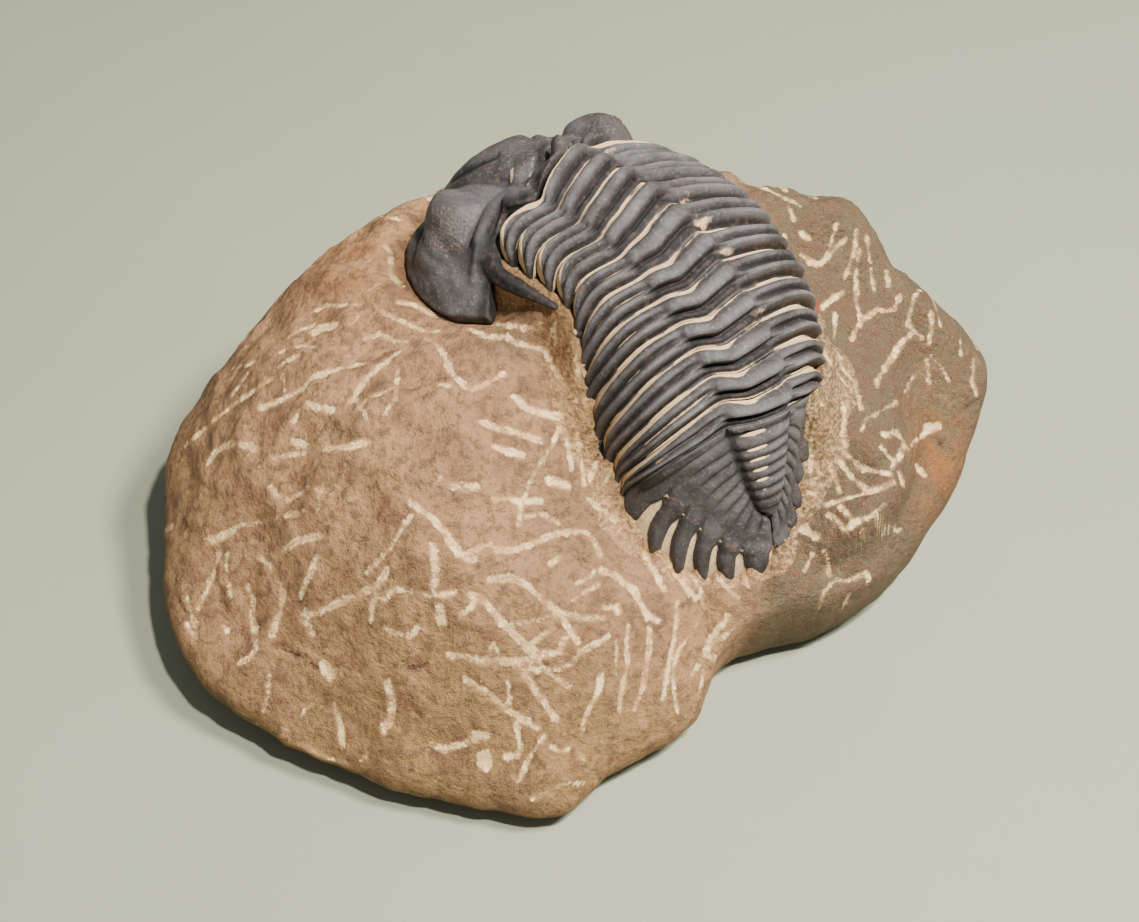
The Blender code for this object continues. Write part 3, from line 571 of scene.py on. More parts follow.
# head shield
headLook = {
    "point": (0.3, 22.3, 46.3),
    "heading": (-42.0, -19.5, -6.0),
    "centre": (8.0, 0.0, 0.2),
    "fullness": 2.6,
    "margin": ((21.5, 0.0, -9.0), (20.8, 6.4, -9.0), (18.4, 12.9, -9.6), (13.0, 16.7, -11.0),
               (6.0, 17.9, -12.2)),
    "backNear": ((0.6, 16.4, -11.9), (1.8, 13.0, -5.4), (2.4, 9.3, -1.2)),
    "backFar": ((5.6, 17.4, -11.6), (5.5, 13.2, -5.4), (5.9, 9.6, -1.2)),
    "spine": ((3.6, 11.8, -5.0), (2.0, 12.6, -6.5), (0.0, 13.3, -7.8), (-3.6, 13.8, -8.3), (-9.2, 14.1, -9.3)),
    "spineRadii": (1.6, 1.65, 1.4, 1.1, 0.4),
    "rearRidge": ((3.4, 4.6, -0.9), (4.2, 7.0, -1.6), (4.5, 9.2, -2.5), (4.0, 11.3, -3.4), (3.8, 12.6, -4.6),
                  (4.0, 13.6, -6.6), (4.3, 14.6, -9.2)),
    "rearRidgeRadii": (0.5, 0.8, 0.95, 1.0, 1.0, 0.9, 0.5),
    "neckFurrow": (3.25, 0.5),  # place and width
    "voxel": 0.24,
    "facet": 0.42,
    # lines on the shield, as points of the frame: places, height, width, how much painted shade, painted
    # highlight or stone fill,
    # and whether the far side has the line too
    "lines": (
        (((440, 186), (450, 181), (460, 173), (472, 166), (484, 160), (495, 155)),
         -0.5, 0.6, 1.0, 0.0, 0.0, True),
        (((424, 186), (419, 197), (417, 210), (417, 225), (421, 239)), -0.2, 0.5, 0.9, 0.0, 0.0, False),
        (((527, 189), (515, 193), (502, 203), (493, 212), (485, 225), (480, 238), (477, 250), (475, 264),
          (473, 279)), 0.3, 0.8, 0.0, 1.0, 0.0, False),
        (((522, 196), (508, 203), (499, 213), (492, 226), (487, 243), (488, 260), (495, 276), (509, 288),
          (526, 298), (546, 309)), -0.2, 1.3, 1.0, 0.0, 0.0, False),
        (((512, 170), (511, 181)), 0.05, 0.35, 0.0, 0.3, 0.8, False),
        (((533, 158), (531, 172), (528, 186)), 0.1, 0.4, 0.0, 0.6, 0.45, False),
        (((403, 260), (407, 271), (417, 283)), 0.1, 0.3, 0.0, 0.7, 0.25, False),
        (((421, 274), (427, 282)), 0.1, 0.3, 0.0, 0.7, 0.3, False),
        (((421, 242), (430, 257), (446, 266), (447, 280), (456, 294)), -0.12, 0.6, 0.45, 0.0, 0.0, False),
        (((470, 186), (484, 190), (495, 200)), 0.1, 1.6, 0.0, 0.35, 0.0, True),
        (((500, 181), (512, 184), (527, 188)), -0.12, 0.45, 0.5, 0.0, 0.0, True),
        (((541, 146), (539, 160), (537, 174), (538, 188)), -0.15, 0.6, 0.8, 0.0, 0.0, False),
    ),
}


def headAxes():  # forward, to the far side, up
    yaw, pitch, roll = headLook["heading"]
    axes = turned(turned(turned(np.eye(3), 2, yaw), 1, pitch), 0, roll)
    return np.array(headLook["point"]), np.column_stack([-axes[:, 0], axes[:, 1], axes[:, 2]])


headPoint, headTurn = headAxes()


def headPlace(local):
    return headPoint + np.asarray(local, float) @ headTurn.T


def headLocal(world):
    return (world - headPoint) @ headTurn


def headOutline():
    near = [np.array((a, -r, u)) for a, r, u in headLook["margin"] + headLook["backNear"]]
    far = [np.array(m) for m in headLook["margin"] + headLook["backFar"]]
    w = np.array((-1.0, -0.6, 0.0, 0.6, 1.0))
    place, normal = backSurface(np.zeros(len(w)), w)
    tailward = joints[0][1][:, 0]
    lift = (0.9 * (1 - w**4) + 0.25)[:, None]
    ring = list(headLocal(place - tailward * 0.2 + normal * lift))
    corners = near + ring + far[:0:-1]
    total = len(corners)
    steps = 10
    margin = []
    for k in range(total):
        p0, p1, p2, p3 = (corners[(k + i) % total] for i in (-1, 0, 1, 2))
        front = min(p1[0], p2[0]) > 5.95  # the margin is curved there, and straight between corners behind
        for i in range(steps):
            t = i / steps
            curved = through([p0, p1, p2, p3], np.array((1 + t) / 3))
            margin.append(curved if front else p1 + (p2 - p1) * t)
    return np.array(margin)


def glabellaHalf(a):
    return 5.1 + 0.13 * np.maximum(a - 4.0, 0)


def headRelief(a, r):  # glabella, its side furrows, the neck furrow and the furrows beside it
    edge = np.abs(r) / glabellaHalf(a)
    body = smooth(a, 3.5, 5.0) * smooth(-a, -20.5, -17.0)
    rise = 1.05 * (1 - np.clip(edge, 0, 1) ** 4) * body
    rise -= 0.7 * bump(a, *headLook["neckFurrow"]) * (edge < 1)
    rise -= 0.5 * bump(edge, 1.08, 0.14) * smooth(a, 0.2, 1.5) * smooth(-a, -18.5, -16.0)
    for middle, slant, depth in ((6.4, 0.35, 0.3), (8.9, 0.2, 0.24), (11.6, 0.0, 0.18)):
        furrow = bump(a + np.abs(r) * slant - middle - slant * 3.2, 0, 0.42)
        rise -= depth * furrow * smooth(edge, 0.3, 0.6) * (edge < 1.05)
    return rise


def closedMesh(name, points, faces):  # from points in millimetres
    mesh = bpy.data.meshes.new(name)
    mesh.from_pydata([tuple(float(c) * mm for c in p) for p in points], [], faces)
    mesh.validate()
    obj = bpy.data.objects.new(name, mesh)
    bpy.context.scene.collection.objects.link(obj)
    pickOnly(obj)
    bpy.ops.object.mode_set(mode="EDIT")
    bpy.ops.mesh.select_all(action="SELECT")
    bpy.ops.mesh.normals_make_consistent(inside=False)
    bpy.ops.object.mode_set(mode="OBJECT")
    return obj


def ringedShape(name, rings, start, end):  # closed shape from rings of points and its two end points
    around = len(rings[0])
    points = [p for ring in rings for p in ring] + [start, end]
    faces = []
    for i in range(len(rings) - 1):
        for k in range(around):
            n = (k + 1) % around
            faces.append((i * around + k, i * around + n, (i + 1) * around + n, (i + 1) * around + k))
    last = (len(rings) - 1) * around
    for k in range(around):
        n = (k + 1) % around
        faces.append((n, k, len(points) - 2))
        faces.append((last + k, last + n, len(points) - 1))
    return closedMesh(name, points, faces)


headMargin = headOutline()


def headDome():  # rings from the middle out to the margin, then one turned in under it
    centre = np.array(headLook["centre"])
    rings = []
    for share in np.linspace(0, 1, 71)[1:]:
        flat = centre[:2] + (headMargin[:, :2] - centre[:2]) * share
        up = centre[2] + (headMargin[:, 2] - centre[2]) * share ** headLook["fullness"]
        up = up + headRelief(flat[:, 0], flat[:, 1]) * (share < 1)
        rings.append(headPlace(np.column_stack([flat, up])))
    flat = centre[:2] + (headMargin[:, :2] - centre[:2]) * 0.94
    rings.append(headPlace(np.column_stack([flat, headMargin[:, 2] - 1.5])))
    return ringedShape("headPlate", rings, headPlace(centre + (0, 0, 0.95)), headPlace((9.0, 0.0, -8.5)))


eyeLook = {
    # middle, half length, half width
    "near": ((10.0, -10.2, -3.6), 4.9, 3.0),
    "far": ((7.2, 11.0, -2.3), 4.1, 2.9),
    "lean": 16.0,
    "toeIn": 12.0,
    # height, and length and width as shares
    "rings": ((-7.4, 1.0, 1.1), (-5.4, 1.12, 1.3), (-3.6, 1.12, 1.26), (-1.8, 1.09, 1.18), (-0.2, 1.02, 1.03),
              (0.9, 0.97, 0.92), (1.7, 0.9, 0.78), (2.2, 0.78, 0.6), (2.45, 0.58, 0.4), (2.5, 0.28, 0.18)),
}


def eyeAxes(side):
    return turned(turned(np.eye(3), 2, -eyeLook["toeIn"] * side), 0, eyeLook["lean"] * side)


def eyeBean(which, side):
    middle, length, width = eyeLook[which]
    axes = eyeAxes(side)
    turn = np.linspace(0, 2 * math.pi, 57)[:-1]
    rings = []
    for up, long, wide in eyeLook["rings"]:
        along = np.cos(turn)
        out = np.sin(turn) - 0.45 * along * along + 0.2
        spots = (along * length * long, side * out * width * wide, np.full(len(turn), up))
        rings.append(headPlace(np.column_stack(spots) @ axes.T + middle))
    ends = [eyeLook["rings"][i][0] for i in (0, -1)]
    start, end = (headPlace(np.array((0.0, 0.0, up)) @ axes.T + middle) for up in ends)
    return ringedShape(which + "Eye", rings, start, end)


def rod(name, path, radii):  # a tapering tube through points of the head's frame
    steps = np.linspace(0, 1, 30)
    spots = through(path, steps)
    size = np.interp(steps, np.linspace(0, 1, len(radii)), radii)
    turn = np.linspace(0, 2 * math.pi, 17)[:-1]
    rings = []
    for i, spot in enumerate(spots):
        way = unit(spots[min(i + 1, len(spots) - 1)] - spots[max(i - 1, 0)])
        one = unit(np.cross(way, (0, 0, 1.0)))
        two = np.cross(one, way)
        circle = np.outer(np.cos(turn), one) + np.outer(np.sin(turn), two)
        rings.append(headPlace(spot + size[i] * circle))
    return ringedShape(name, rings, headPlace(spots[0]), headPlace(spots[-1]))


def knobEgg():  # the knob on the head's last ring
    deselectAll()
    bpy.ops.mesh.primitive_uv_sphere_add(segments=48, ring_count=28, radius=1)
    obj = bpy.context.object
    ball = coords(obj)
    ball[:, :2] *= (1 - 0.25 * ball[:, 2:])
    setCoords(obj, headPlace(ball * (1.15, 1.05, 1.6) + np.array((1.5, 0.0, 2.3))))
    return obj


def headShell():  # the parts are fused into one skin, and the feet of the eyes are smoothed into it
    look = headLook
    dome = headDome()
    parts = [dome, knobEgg(), eyeBean("near", -1), eyeBean("far", 1)]
    for side in (-1, 1):
        parts.append(rod(f"cheekSpine{side}", np.array(look["spine"]) * (1, side, 1), look["spineRadii"]))
    parts.append(rod("rearRidge", np.array(look["rearRidge"]) * (1, -1, 1), look["rearRidgeRadii"]))
    deselectAll()
    for part in parts:
        part.select_set(True)
    bpy.context.view_layer.objects.active = dome
    bpy.ops.object.join()
    applyModifier(dome, "REMESH", mode="VOXEL", voxel_size=look["voxel"] * mm, use_smooth_shade=True)
    applyModifier(dome, "SMOOTH", factor=0.5, iterations=9)
    group = dome.vertex_groups.new(name="eyeFeet")
    local = headLocal(places(dome))
    for which, side in (("near", -1), ("far", 1)):
        middle, length, width = eyeLook[which]
        inEye = (local - middle) @ eyeAxes(side)
        ease = smooth(-np.abs(inEye[:, 0]), -length * 1.8, -length * 1.2)
        ease *= smooth(-np.abs(inEye[:, 1]), -width * 3.4, -width * 2.4)
        ease *= smooth(inEye[:, 2], -9.5, -7.5) * smooth(-inEye[:, 2], 0.6, 2.6)
        for i in np.nonzero(ease > 0.02)[0]:
            group.add([int(i)], float(ease[i]), "ADD")
    applyModifier(dome, "SMOOTH", factor=0.5, iterations=110, vertex_group="eyeFeet")
    return dome


def lensMask(local, normal):  # how much of each eye's faceted outer side a point belongs to
    mask = np.zeros(len(local))
    for which, side in (("near", -1), ("far", 1)):
        middle, length, width = eyeLook[which]
        axes = eyeAxes(side)
        inEye = (local - middle) @ axes
        outward = normal @ axes
        reach = smooth(-np.abs(inEye[:, 0]), -length * 1.02, -length * 0.8)
        tall = smooth(inEye[:, 2], -3.6, -2.8) * smooth(-inEye[:, 2], -2.1, -1.5)
        facing = smooth(side * outward[:, 1], 0.05, 0.35)
        close = (np.abs(inEye[:, 0]) < length * 1.2) & (np.abs(inEye[:, 1]) < width * 2)
        mask = np.maximum(mask, reach * tall * facing * close)
    return mask


def carveHead(obj):
    tree = treeOf(obj)
    spots = places(obj)
    normal = normals(obj)
    local = headLocal(spots)
    forward, right, above = local.T
    cream, dark, paintedHighlight, lift = np.zeros((4, len(spots)))
    for line, depth, width, shadeAmount, highlightAmount, filled, mirrored in headLook["lines"]:
        found = castLine(tree, line)
        if mirrored:
            other = headPlace(headLocal(np.array(found)) * (1, -1, 1))
            found += [tuple(tree.find_nearest(Vector(p))[0]) for p in other]
        mark = bump(nearness(spots, found), 0, width)
        lift += depth * mark
        # painted shade in the line's groove, painted highlight on its ridge, and stone fill
        dark = np.maximum(dark, shadeAmount * mark)
        paintedHighlight = np.maximum(paintedHighlight, highlightAmount * mark)
        cream = np.maximum(cream, filled * mark)
    # rolled border round the edge, with a furrow inside it
    marginX, marginY = (headMargin[:, :2] - headLook["centre"][:2]).T
    ownX, ownY = (local[:, :2] - headLook["centre"][:2]).T
    angle = np.arctan2(marginY, marginX)
    order = np.argsort(angle)
    far = np.hypot(marginX, marginY)[order]
    edgeFar = np.interp(np.arctan2(ownY, ownX), angle[order], far, period=2 * math.pi)
    share = np.hypot(ownX, ownY) / edgeFar
    front = smooth(forward, 2.0, 5.0)
    lift += front * (0.3 * bump(share, 0.93, 0.05) - 0.35 * bump(share, 0.83, 0.04))
    # painted highlight along the rolled border, and on the near cheek's rear part
    paintedHighlight = np.maximum(paintedHighlight, 0.5 * front * bump(share, 0.93, 0.04))
    paintedHighlight = np.maximum(paintedHighlight, 0.6 * smooth(-right, 4.5, 7.5) * smooth(-forward, -9.0, -5.0))
    lens = lensMask(local, normal) * 0.7
    # painted highlight on the tops of the eyes, painted shade in the furrows and on the cheek spine
    facing = normal @ headTurn[:, 2]
    eyeTopHighlight = bump(forward, 10.5, 2.6) * bump(np.abs(right), 9.5, 1.3) * (facing > 0.6)
    paintedHighlight = np.maximum(paintedHighlight, 0.35 * eyeTopHighlight)
    edge = np.abs(right) / glabellaHalf(forward)
    dark = np.maximum(dark, 0.8 * bump(forward, *headLook["neckFurrow"]) * (edge < 1) * (above > -2.5))
    dark = np.maximum(dark, 0.6 * bump(edge, 1.08, 0.1) * front * smooth(-forward, -18, -15))
    dark = np.maximum(dark, 0.8 * smooth(-forward, -3.0, -1.0) * smooth(-right, 11.0, 12.5))
    lift = lift * smooth(facing, -0.2, 0.2) + 0.05 * noiseAt(spots, 1.1, 7.0)
    lift = lift + 0.06 * noiseAt(spots, 3.5, 2.0)
    setCoords(obj, spots + normal * lift[:, None])
    setMarks(obj, "marks", (cream, dark, paintedHighlight, lens))


headPlate = headShell()
carveHead(headPlate)
print("head plate made:", len(headPlate.data.polygons), "faces")


# cobble
rockLook = {
    "side": 292,  # points along each side of the upper sheet
    "rim": (
        (-49.3, -0.6, 11.0), (-49.6, 7.6, 13.0), (-46.5, 14.0, 14.0), (-41.0, 24.0, 15.0),
        (-33.0, 33.5, 16.0), (-19.0, 41.0, 16.0), (-3.5, 43.5, 16.0), (11.0, 42.5, 16.0),
        (23.0, 39.5, 16.0), (35.0, 35.0, 16.0), (45.0, 26.5, 16.0), (51.8, 17.5, 18.0),
        (49.5, 7.5, 14.0), (45.0, -0.4, 12.0), (39.6, -8.2, 10.0), (31.5, -14.4, 8.0),
        (21.0, -18.0, 8.0), (17.2, -21.3, 7.0), (13.7, -27.5, 6.0), (4.8, -33.2, 5.0),
        (-0.8, -37.8, 4.0), (-8.4, -37.8, 4.0), (-21.6, -34.4, 4.5), (-36.6, -27.1, 6.0),
        (-45.7, -18.8, 8.0), (-48.5, -9.4, 9.0),
    ),
    "top": (
        (-1.0, -2.0, 33.0), (-13.0, -9.0, 33.5), (-27.0, -7.0, 30.0), (-37.0, -2.5, 25.5),
        (-18.0, -23.0, 22.5), (-8.0, -26.0, 19.5), (3.0, -24.0, 16.5), (8.0, -17.0, 16.5),
        (21.0, -15.0, 11.5), (27.0, -10.5, 14.5), (34.0, -4.0, 19.5), (35.0, 4.0, 24.5),
        (31.0, 15.5, 30.0), (40.0, 14.0, 27.0), (25.0, 23.0, 38.0), (-3.0, 8.0, 37.0),
        (-10.0, 5.0, 36.5), (-20.0, 8.0, 34.0), (-23.0, 23.0, 34.5), (-16.0, -3.0, 35.0),
        (-30.0, -19.0, 18.5), (-38.0, -16.0, 14.5), (-13.0, -31.0, 13.0), (-2.0, -31.0, 12.0),
        (-26.0, -28.0, 11.0), (10.0, 16.0, 38.0), (17.0, 0.0, 27.0), (16.0, -10.5, 14.0),
        (0.0, 34.0, 38.0), (14.0, 33.0, 39.5), (-15.0, 34.0, 36.5), (34.0, 28.0, 35.5),
        (43.0, 18.0, 29.0), (-38.0, 14.0, 26.5), (-30.0, 25.0, 29.8), (-10.0, 22.0, 39.0),
        (41.0, 4.0, 19.5), (8.0, -24.0, 14.5), (2.5, -8.5, 24.5), (29.0, 3.0, 20.5),
    ),
    "lumps": (  # place, radius, height
        (-9.5, 17.0, 2.6, 2.0), (-7.5, 12.5, 2.6, 2.4), (-5.0, 8.5, 2.6, 2.4),
        (-2.5, 4.5, 2.4, 1.8), (-17.5, -30.0, 2.6, -1.4), (29.0, 26.0, 4.0, 1.6),
        (-7.0, -15.0, 3.5, -0.8), (-30.0, 4.0, 5.0, 0.8), (40.0, 9.0, 4.0, -1.0),
        (33.0, 18.0, 5.0, -0.9), (5.0, -29.5, 3.0, 1.0), (-38.0, -10.0, 4.0, -1.0),
        (-22.0, -31.5, 3.2, 1.1), (-4.0, -34.0, 2.4, 1.0), (44.0, 16.0, 3.0, 1.1),
    ),
    "centre": (6.0, 11.0),
    "base": 0.86,
    "edgeRound": 5.0,
    "roundness": 36.0,
    "sideRings": 10,
    "cell": 0.35,  # how finely the fossil's underside is read
    "margin": 15,  # read round it
    "climb": (8.0, 0.8),  # the stone up and away from the shell's edge: reach, slope
    "fall": (8.0, 0.8),  # and down and away from it
    # stone left over the first tips: outwards, above them, half width, how much steeper outside
    "neckRidge": (0.25, 0.8, 1.1, 1.7),
    "flush": (2.2, 1.1, 0.45),  # stone beside the plates' edges: reach, slope away, depth below their tops
    "apron": (12.0, 1.0),  # stone further out from them: reach, slope away
    "plate": 1.6,  # most that the plates' tops stand over their edges
    "sunk": 0.1,
    "wear": 90,  # how many times the stone beside the shell is smoothed
    "soft": 1.3,
}
nowhere = 1e3  # height where the shell doesn't reach


def smoothRim(count):
    rim = np.array(rockLook["rim"])
    total = len(rim)
    share = np.arange(count) / count * total
    i = share.astype(int) % total
    t = (share - share.astype(int))[:, None]
    return curveAt(*(rim[(i + k) % total] for k in (-1, 0, 1, 2)), t)


def rockSurface():  # a function giving the height of the plain upper side at plan points
    look = rockLook
    points = np.array(look["rim"] + look["top"])
    points[len(look["rim"]) :, 2] -= look["edgeRound"]
    apart = np.linalg.norm(points[:, None, :2] - points[None, :, :2], axis=2)
    size = len(points)
    system = np.zeros((size + 3, size + 3))
    system[:size, :size] = np.sqrt(apart**2 + look["roundness"])
    system[:size, size] = 1.0
    system[:size, size + 1 :] = points[:, :2]
    system[size:, :size] = system[:size, size:].T
    weights = np.linalg.solve(system, np.append(points[:, 2], np.zeros(3)))

    def height(flat):
        far = np.sqrt(((flat[:, None, :] - points[None, :, :2]) ** 2).sum(2) + look["roundness"])
        return far @ weights[:-3] + weights[-3] + flat @ weights[-2:]

    return height


def rockRelief(flat):
    rise = 0.9 / 1.6 * noiseFlat(flat, 1 / 0.075, 3.1)
    rise = rise + 0.55 / 1.6 * noiseFlat(flat, 1 / 0.17, 8.4)
    for x, y, radius, up in rockLook["lumps"]:
        rise += up * bump(np.hypot(flat[:, 0] - x, flat[:, 1] - y), 0, radius)
    return rise


def noiseFlat(flat, size, level):
    return np.array([noise.noise(Vector((x / size, y / size, level))) for x, y in flat]) * 1.6


def underFossil(fossil):  # plan grids of the shell's lowest and highest height, and of where plates are
    cell = rockLook["cell"]
    points = np.vstack([places(obj) for obj in fossil])[:, :2]
    low = points.min(0) - rockLook["margin"]
    size = ((points.max(0) + rockLook["margin"] - low) / cell).astype(int) + 1
    under = np.full(size, np.inf)
    over = np.full(size, -np.inf)
    plates = np.zeros(size, bool)
    upwards, down = Vector((0, 0, 1)), Vector((0, 0, -1))
    for obj in fossil:
        tree = treeOf(obj)
        own = places(obj)
        start = ((own.min(0)[:2] - low) / cell).astype(int)
        end = ((own.max(0)[:2] - low) / cell).astype(int) + 2
        for i in range(start[0], end[0]):
            for k in range(start[1], end[1]):
                x, y = low[0] + i * cell, low[1] + k * cell
                lowest = tree.ray_cast(Vector((x, y, -5.0)), upwards)[0]
                if lowest is None:
                    continue
                highest = tree.ray_cast(Vector((x, y, 80.0)), down)[0]
                under[i, k] = min(under[i, k], lowest[2])
                over[i, k] = max(over[i, k], highest[2])
                plates[i, k] |= obj is not headPlate
    return low, under, over, plates


def grown(cells):
    wider = cells.copy()
    wider[1:] |= cells[:-1]
    wider[:-1] |= cells[1:]
    wider[:, 1:] |= cells[:, :-1]
    wider[:, :-1] |= cells[:, 1:]
    return wider


def edgeOf(filled):  # the cells along the outer edge, small gaps left out
    whole = filled
    for _ in range(4):
        whole = grown(whole)
    for _ in range(5):
        whole = ~grown(~whole)
    return filled & ~whole


def spread(grid, reach, slope, sign):  # widens a height grid by cones that rise (sign 1) or fall (sign -1)
    cell = rockLook["cell"]
    steps = int(reach / cell)
    out = grid.copy()
    for i in range(-steps, steps + 1):
        for k in range(-steps, steps + 1):
            apart = math.hypot(i, k) * cell
            if apart > reach or (i == 0 and k == 0):
                continue
            moved = np.full(grid.shape, np.inf * sign)
            x0, x1 = max(0, i), grid.shape[0] + min(0, i)
            y0, y1 = max(0, k), grid.shape[1] + min(0, k)
            moved[x0:x1, y0:y1] = grid[x0 - i : x1 - i, y0 - k : y1 - k] + sign * slope * apart
            out = np.minimum(out, moved) if sign > 0 else np.maximum(out, moved)
    return out


def sampleGrid(grid, low, flat, empty):  # the grid's values at plan points
    place = (flat - low) / rockLook["cell"]
    last = np.array(grid.shape) - 1.001
    inside = (place >= 0).all(1) & (place < last).all(1)
    place = np.clip(place, 0, last)
    i = place.astype(int)
    t = place - i
    filled = np.where(np.isfinite(grid), grid, empty)
    a = filled[i[:, 0], i[:, 1]] * (1 - t[:, 0]) + filled[i[:, 0] + 1, i[:, 1]] * t[:, 0]
    b = filled[i[:, 0], i[:, 1] + 1] * (1 - t[:, 0]) + filled[i[:, 0] + 1, i[:, 1] + 1] * t[:, 0]
    return np.where(inside, a * (1 - t[:, 1]) + b * t[:, 1], empty)


def ringAngles(ax, ay):  # squares to rings: the sheet's edge becomes the cobble's widest line
    wide = np.abs(ax) > np.abs(ay)
    safeX, safeY = np.where(ax == 0, 1e-9, ax), np.where(ay == 0, 1e-9, ay)
    angle = np.where(wide, math.pi / 4 * (ay / safeX), math.pi / 2 - math.pi / 4 * (ax / safeY))
    angle = np.where(wide & (ax < 0), angle + math.pi, angle)
    return np.where(~wide & (ay < 0), angle + math.pi, angle)


def addNeckRidge(flat, height):  # stone left standing over the first plates' near tips
    outward, above, halfWidth, steeper = rockLook["neckRidge"]
    along = np.linspace(0.0, 5.6, 70)
    farWay = joints[2][1][:, 1]
    tips = edgeAt(along, np.full(len(along), -1.92)) - farWay * outward
    tree = pointTree([(p[0], p[1], 0.0) for p in tips])
    for i in np.nonzero(np.hypot(*(flat - tips[:, :2].mean(0)).T) < 14)[0]:
        _, nearest, apart = tree.find((flat[i, 0], flat[i, 1], 0.0))
        if apart < halfWidth * 1.6:
            top = tips[nearest, 2] + above * (1 - along[nearest] / 9)
            outside = (flat[i] - tips[nearest, :2]) @ farWay[:2] < 0
            away = apart * (steeper if outside else 1.0)
            height[i] = max(height[i], top - 1.1 * (away / halfWidth) ** 2)


def makeRock(fossil):
    look = rockLook
    obj, x, y = gridSheet("matrixRock", look["side"], look["side"])
    ax, ay = (np.column_stack([x, y]) * 2 - 1).T
    radius = np.maximum(np.abs(ax), np.abs(ay))
    angle = ringAngles(ax, ay)
    rim = smoothRim(1440)
    centre = np.array(look["centre"])
    rimAngle = np.unwrap(np.arctan2(rim[:, 1] - centre[1], rim[:, 0] - centre[0]))
    rim, rimAngle = rim[np.argsort(rimAngle)], np.sort(rimAngle)
    edge = [np.interp(angle, rimAngle, column, period=2 * math.pi) for column in rim.T]
    edge = np.column_stack(edge)
    flat = centre + (edge[:, :2] - centre) * radius[:, None]
    rounding = np.sqrt(np.clip(1 - radius**8, 0, 1))
    height = rockSurface()(flat)
    height = np.where(radius < 0.9995, height, edge[:, 2]) + look["edgeRound"] * rounding
    height += rockRelief(flat) * (1 - radius**6)
    natural = height.copy()
    # the stone meets the shell from below and beside
    low, under, over, plates = underFossil(fossil)
    shellEdge = edgeOf(np.isfinite(under))

    def rising(grid, reach, slope):
        return sampleGrid(spread(grid, reach, slope, 1), low, flat, nowhere)

    def falling(grid, reach, slope, empty=-nowhere):
        return sampleGrid(spread(grid, reach, slope, -1), low, flat, empty)

    highest = rising(under, *look["climb"])
    lowest = falling(np.where(shellEdge, under, -np.inf), *look["fall"])
    soft, sunk = look["soft"], look["sunk"]
    height = -soft * np.logaddexp(-height / soft, -(highest - sunk) / soft)
    height = np.maximum(height, lowest - sunk)
    reach, slope, lower = look["flush"]
    level = np.where(shellEdge & plates, np.minimum(over, under + look["plate"]), -np.inf)
    apron = falling(level, *look["apron"]) - lower
    height = soft * np.logaddexp(height / soft, apron / soft)
    height = np.minimum(height, highest - sunk)
    height = np.maximum(height, falling(level, reach, slope) - lower)
    # steps further out are worn smooth
    away = -falling(np.where(np.isfinite(under), 0.0, -np.inf), 14.0, 1.0, -14.0)
    worn = smooth(away, 0.4, 1.8) * smooth(-away, -13.9, -10.0) * smooth(-radius, -0.94, -0.86)
    sheet, worn = (values.reshape(look["side"] + 1, -1) for values in (height, worn))
    for _ in range(look["wear"]):
        around = sum(np.roll(sheet, step, axis) for step in (-1, 1) for axis in (0, 1)) / 4
        sheet = sheet + (around - sheet) * worn * 0.9
    height = sheet.ravel()
    addNeckRidge(flat, height)
    place = np.column_stack([flat, height])
    # soft roughness of the broken stone, fading at the shell
    near = smooth(highest - natural, 0.0, 6.0)
    rough = 0.35 * noiseAt(place, 3.0, 1.0) + 0.17 * noiseAt(place, 1.1, 2.0)
    rough = rough + 0.5 - 1.3 * np.abs(noiseAt(place, 7.5, 5.0))
    place[:, 2] += rough * (0.3 + 0.7 * near) * (1 - radius**20)
    # chipped outline
    level = place * (1, 1, 0)
    chips = 0.7 * np.abs(noiseAt(level, 7.0, 8.0)) - 0.25 + 0.25 * noiseAt(level, 2.4, 3.0)
    place[:, :2] -= (flat - centre) * (chips * 0.014 * radius**10)[:, None]
    setCoords(obj, place)
    closeRock(obj, centre)
    return obj, (low, under)


def closeRock(obj, centre):  # walls the sheet down to its flat resting face
    look = rockLook
    for ring in range(1, look["sideRings"] + 1):
        pickOnly(obj)
        bpy.ops.object.mode_set(mode="EDIT")
        bpy.ops.mesh.select_mode(type="EDGE")
        bpy.ops.mesh.select_all(action="DESELECT")
        bpy.ops.mesh.select_non_manifold()
        bpy.ops.mesh.extrude_edges_move()
        bpy.ops.object.mode_set(mode="OBJECT")
        chosen = np.zeros(len(obj.data.vertices), bool)
        obj.data.vertices.foreach_get("select", chosen)
        spots = places(obj)
        if ring == 1:
            startFlat, startHeight = spots[chosen, :2], spots[chosen, 2]
        turn = ring / look["sideRings"] * math.pi / 2
        inward = 1 - (1 - look["base"]) * (1 - math.cos(turn))
        level = startHeight * (1 - math.sin(turn))
        spots[chosen] = np.column_stack([centre + (startFlat - centre) * inward, level])
        setCoords(obj, spots)
    bpy.ops.object.mode_set(mode="EDIT")
    bpy.ops.mesh.fill()
    bpy.ops.mesh.select_all(action="SELECT")
    bpy.ops.mesh.normals_make_consistent(inside=False)
    bpy.ops.object.mode_set(mode="OBJECT")


rockPiece, fossilMap = makeRock(thoraxPlates + [tailPlate, headPlate])
print("cobble made:", len(rockPiece.data.polygons), "faces")


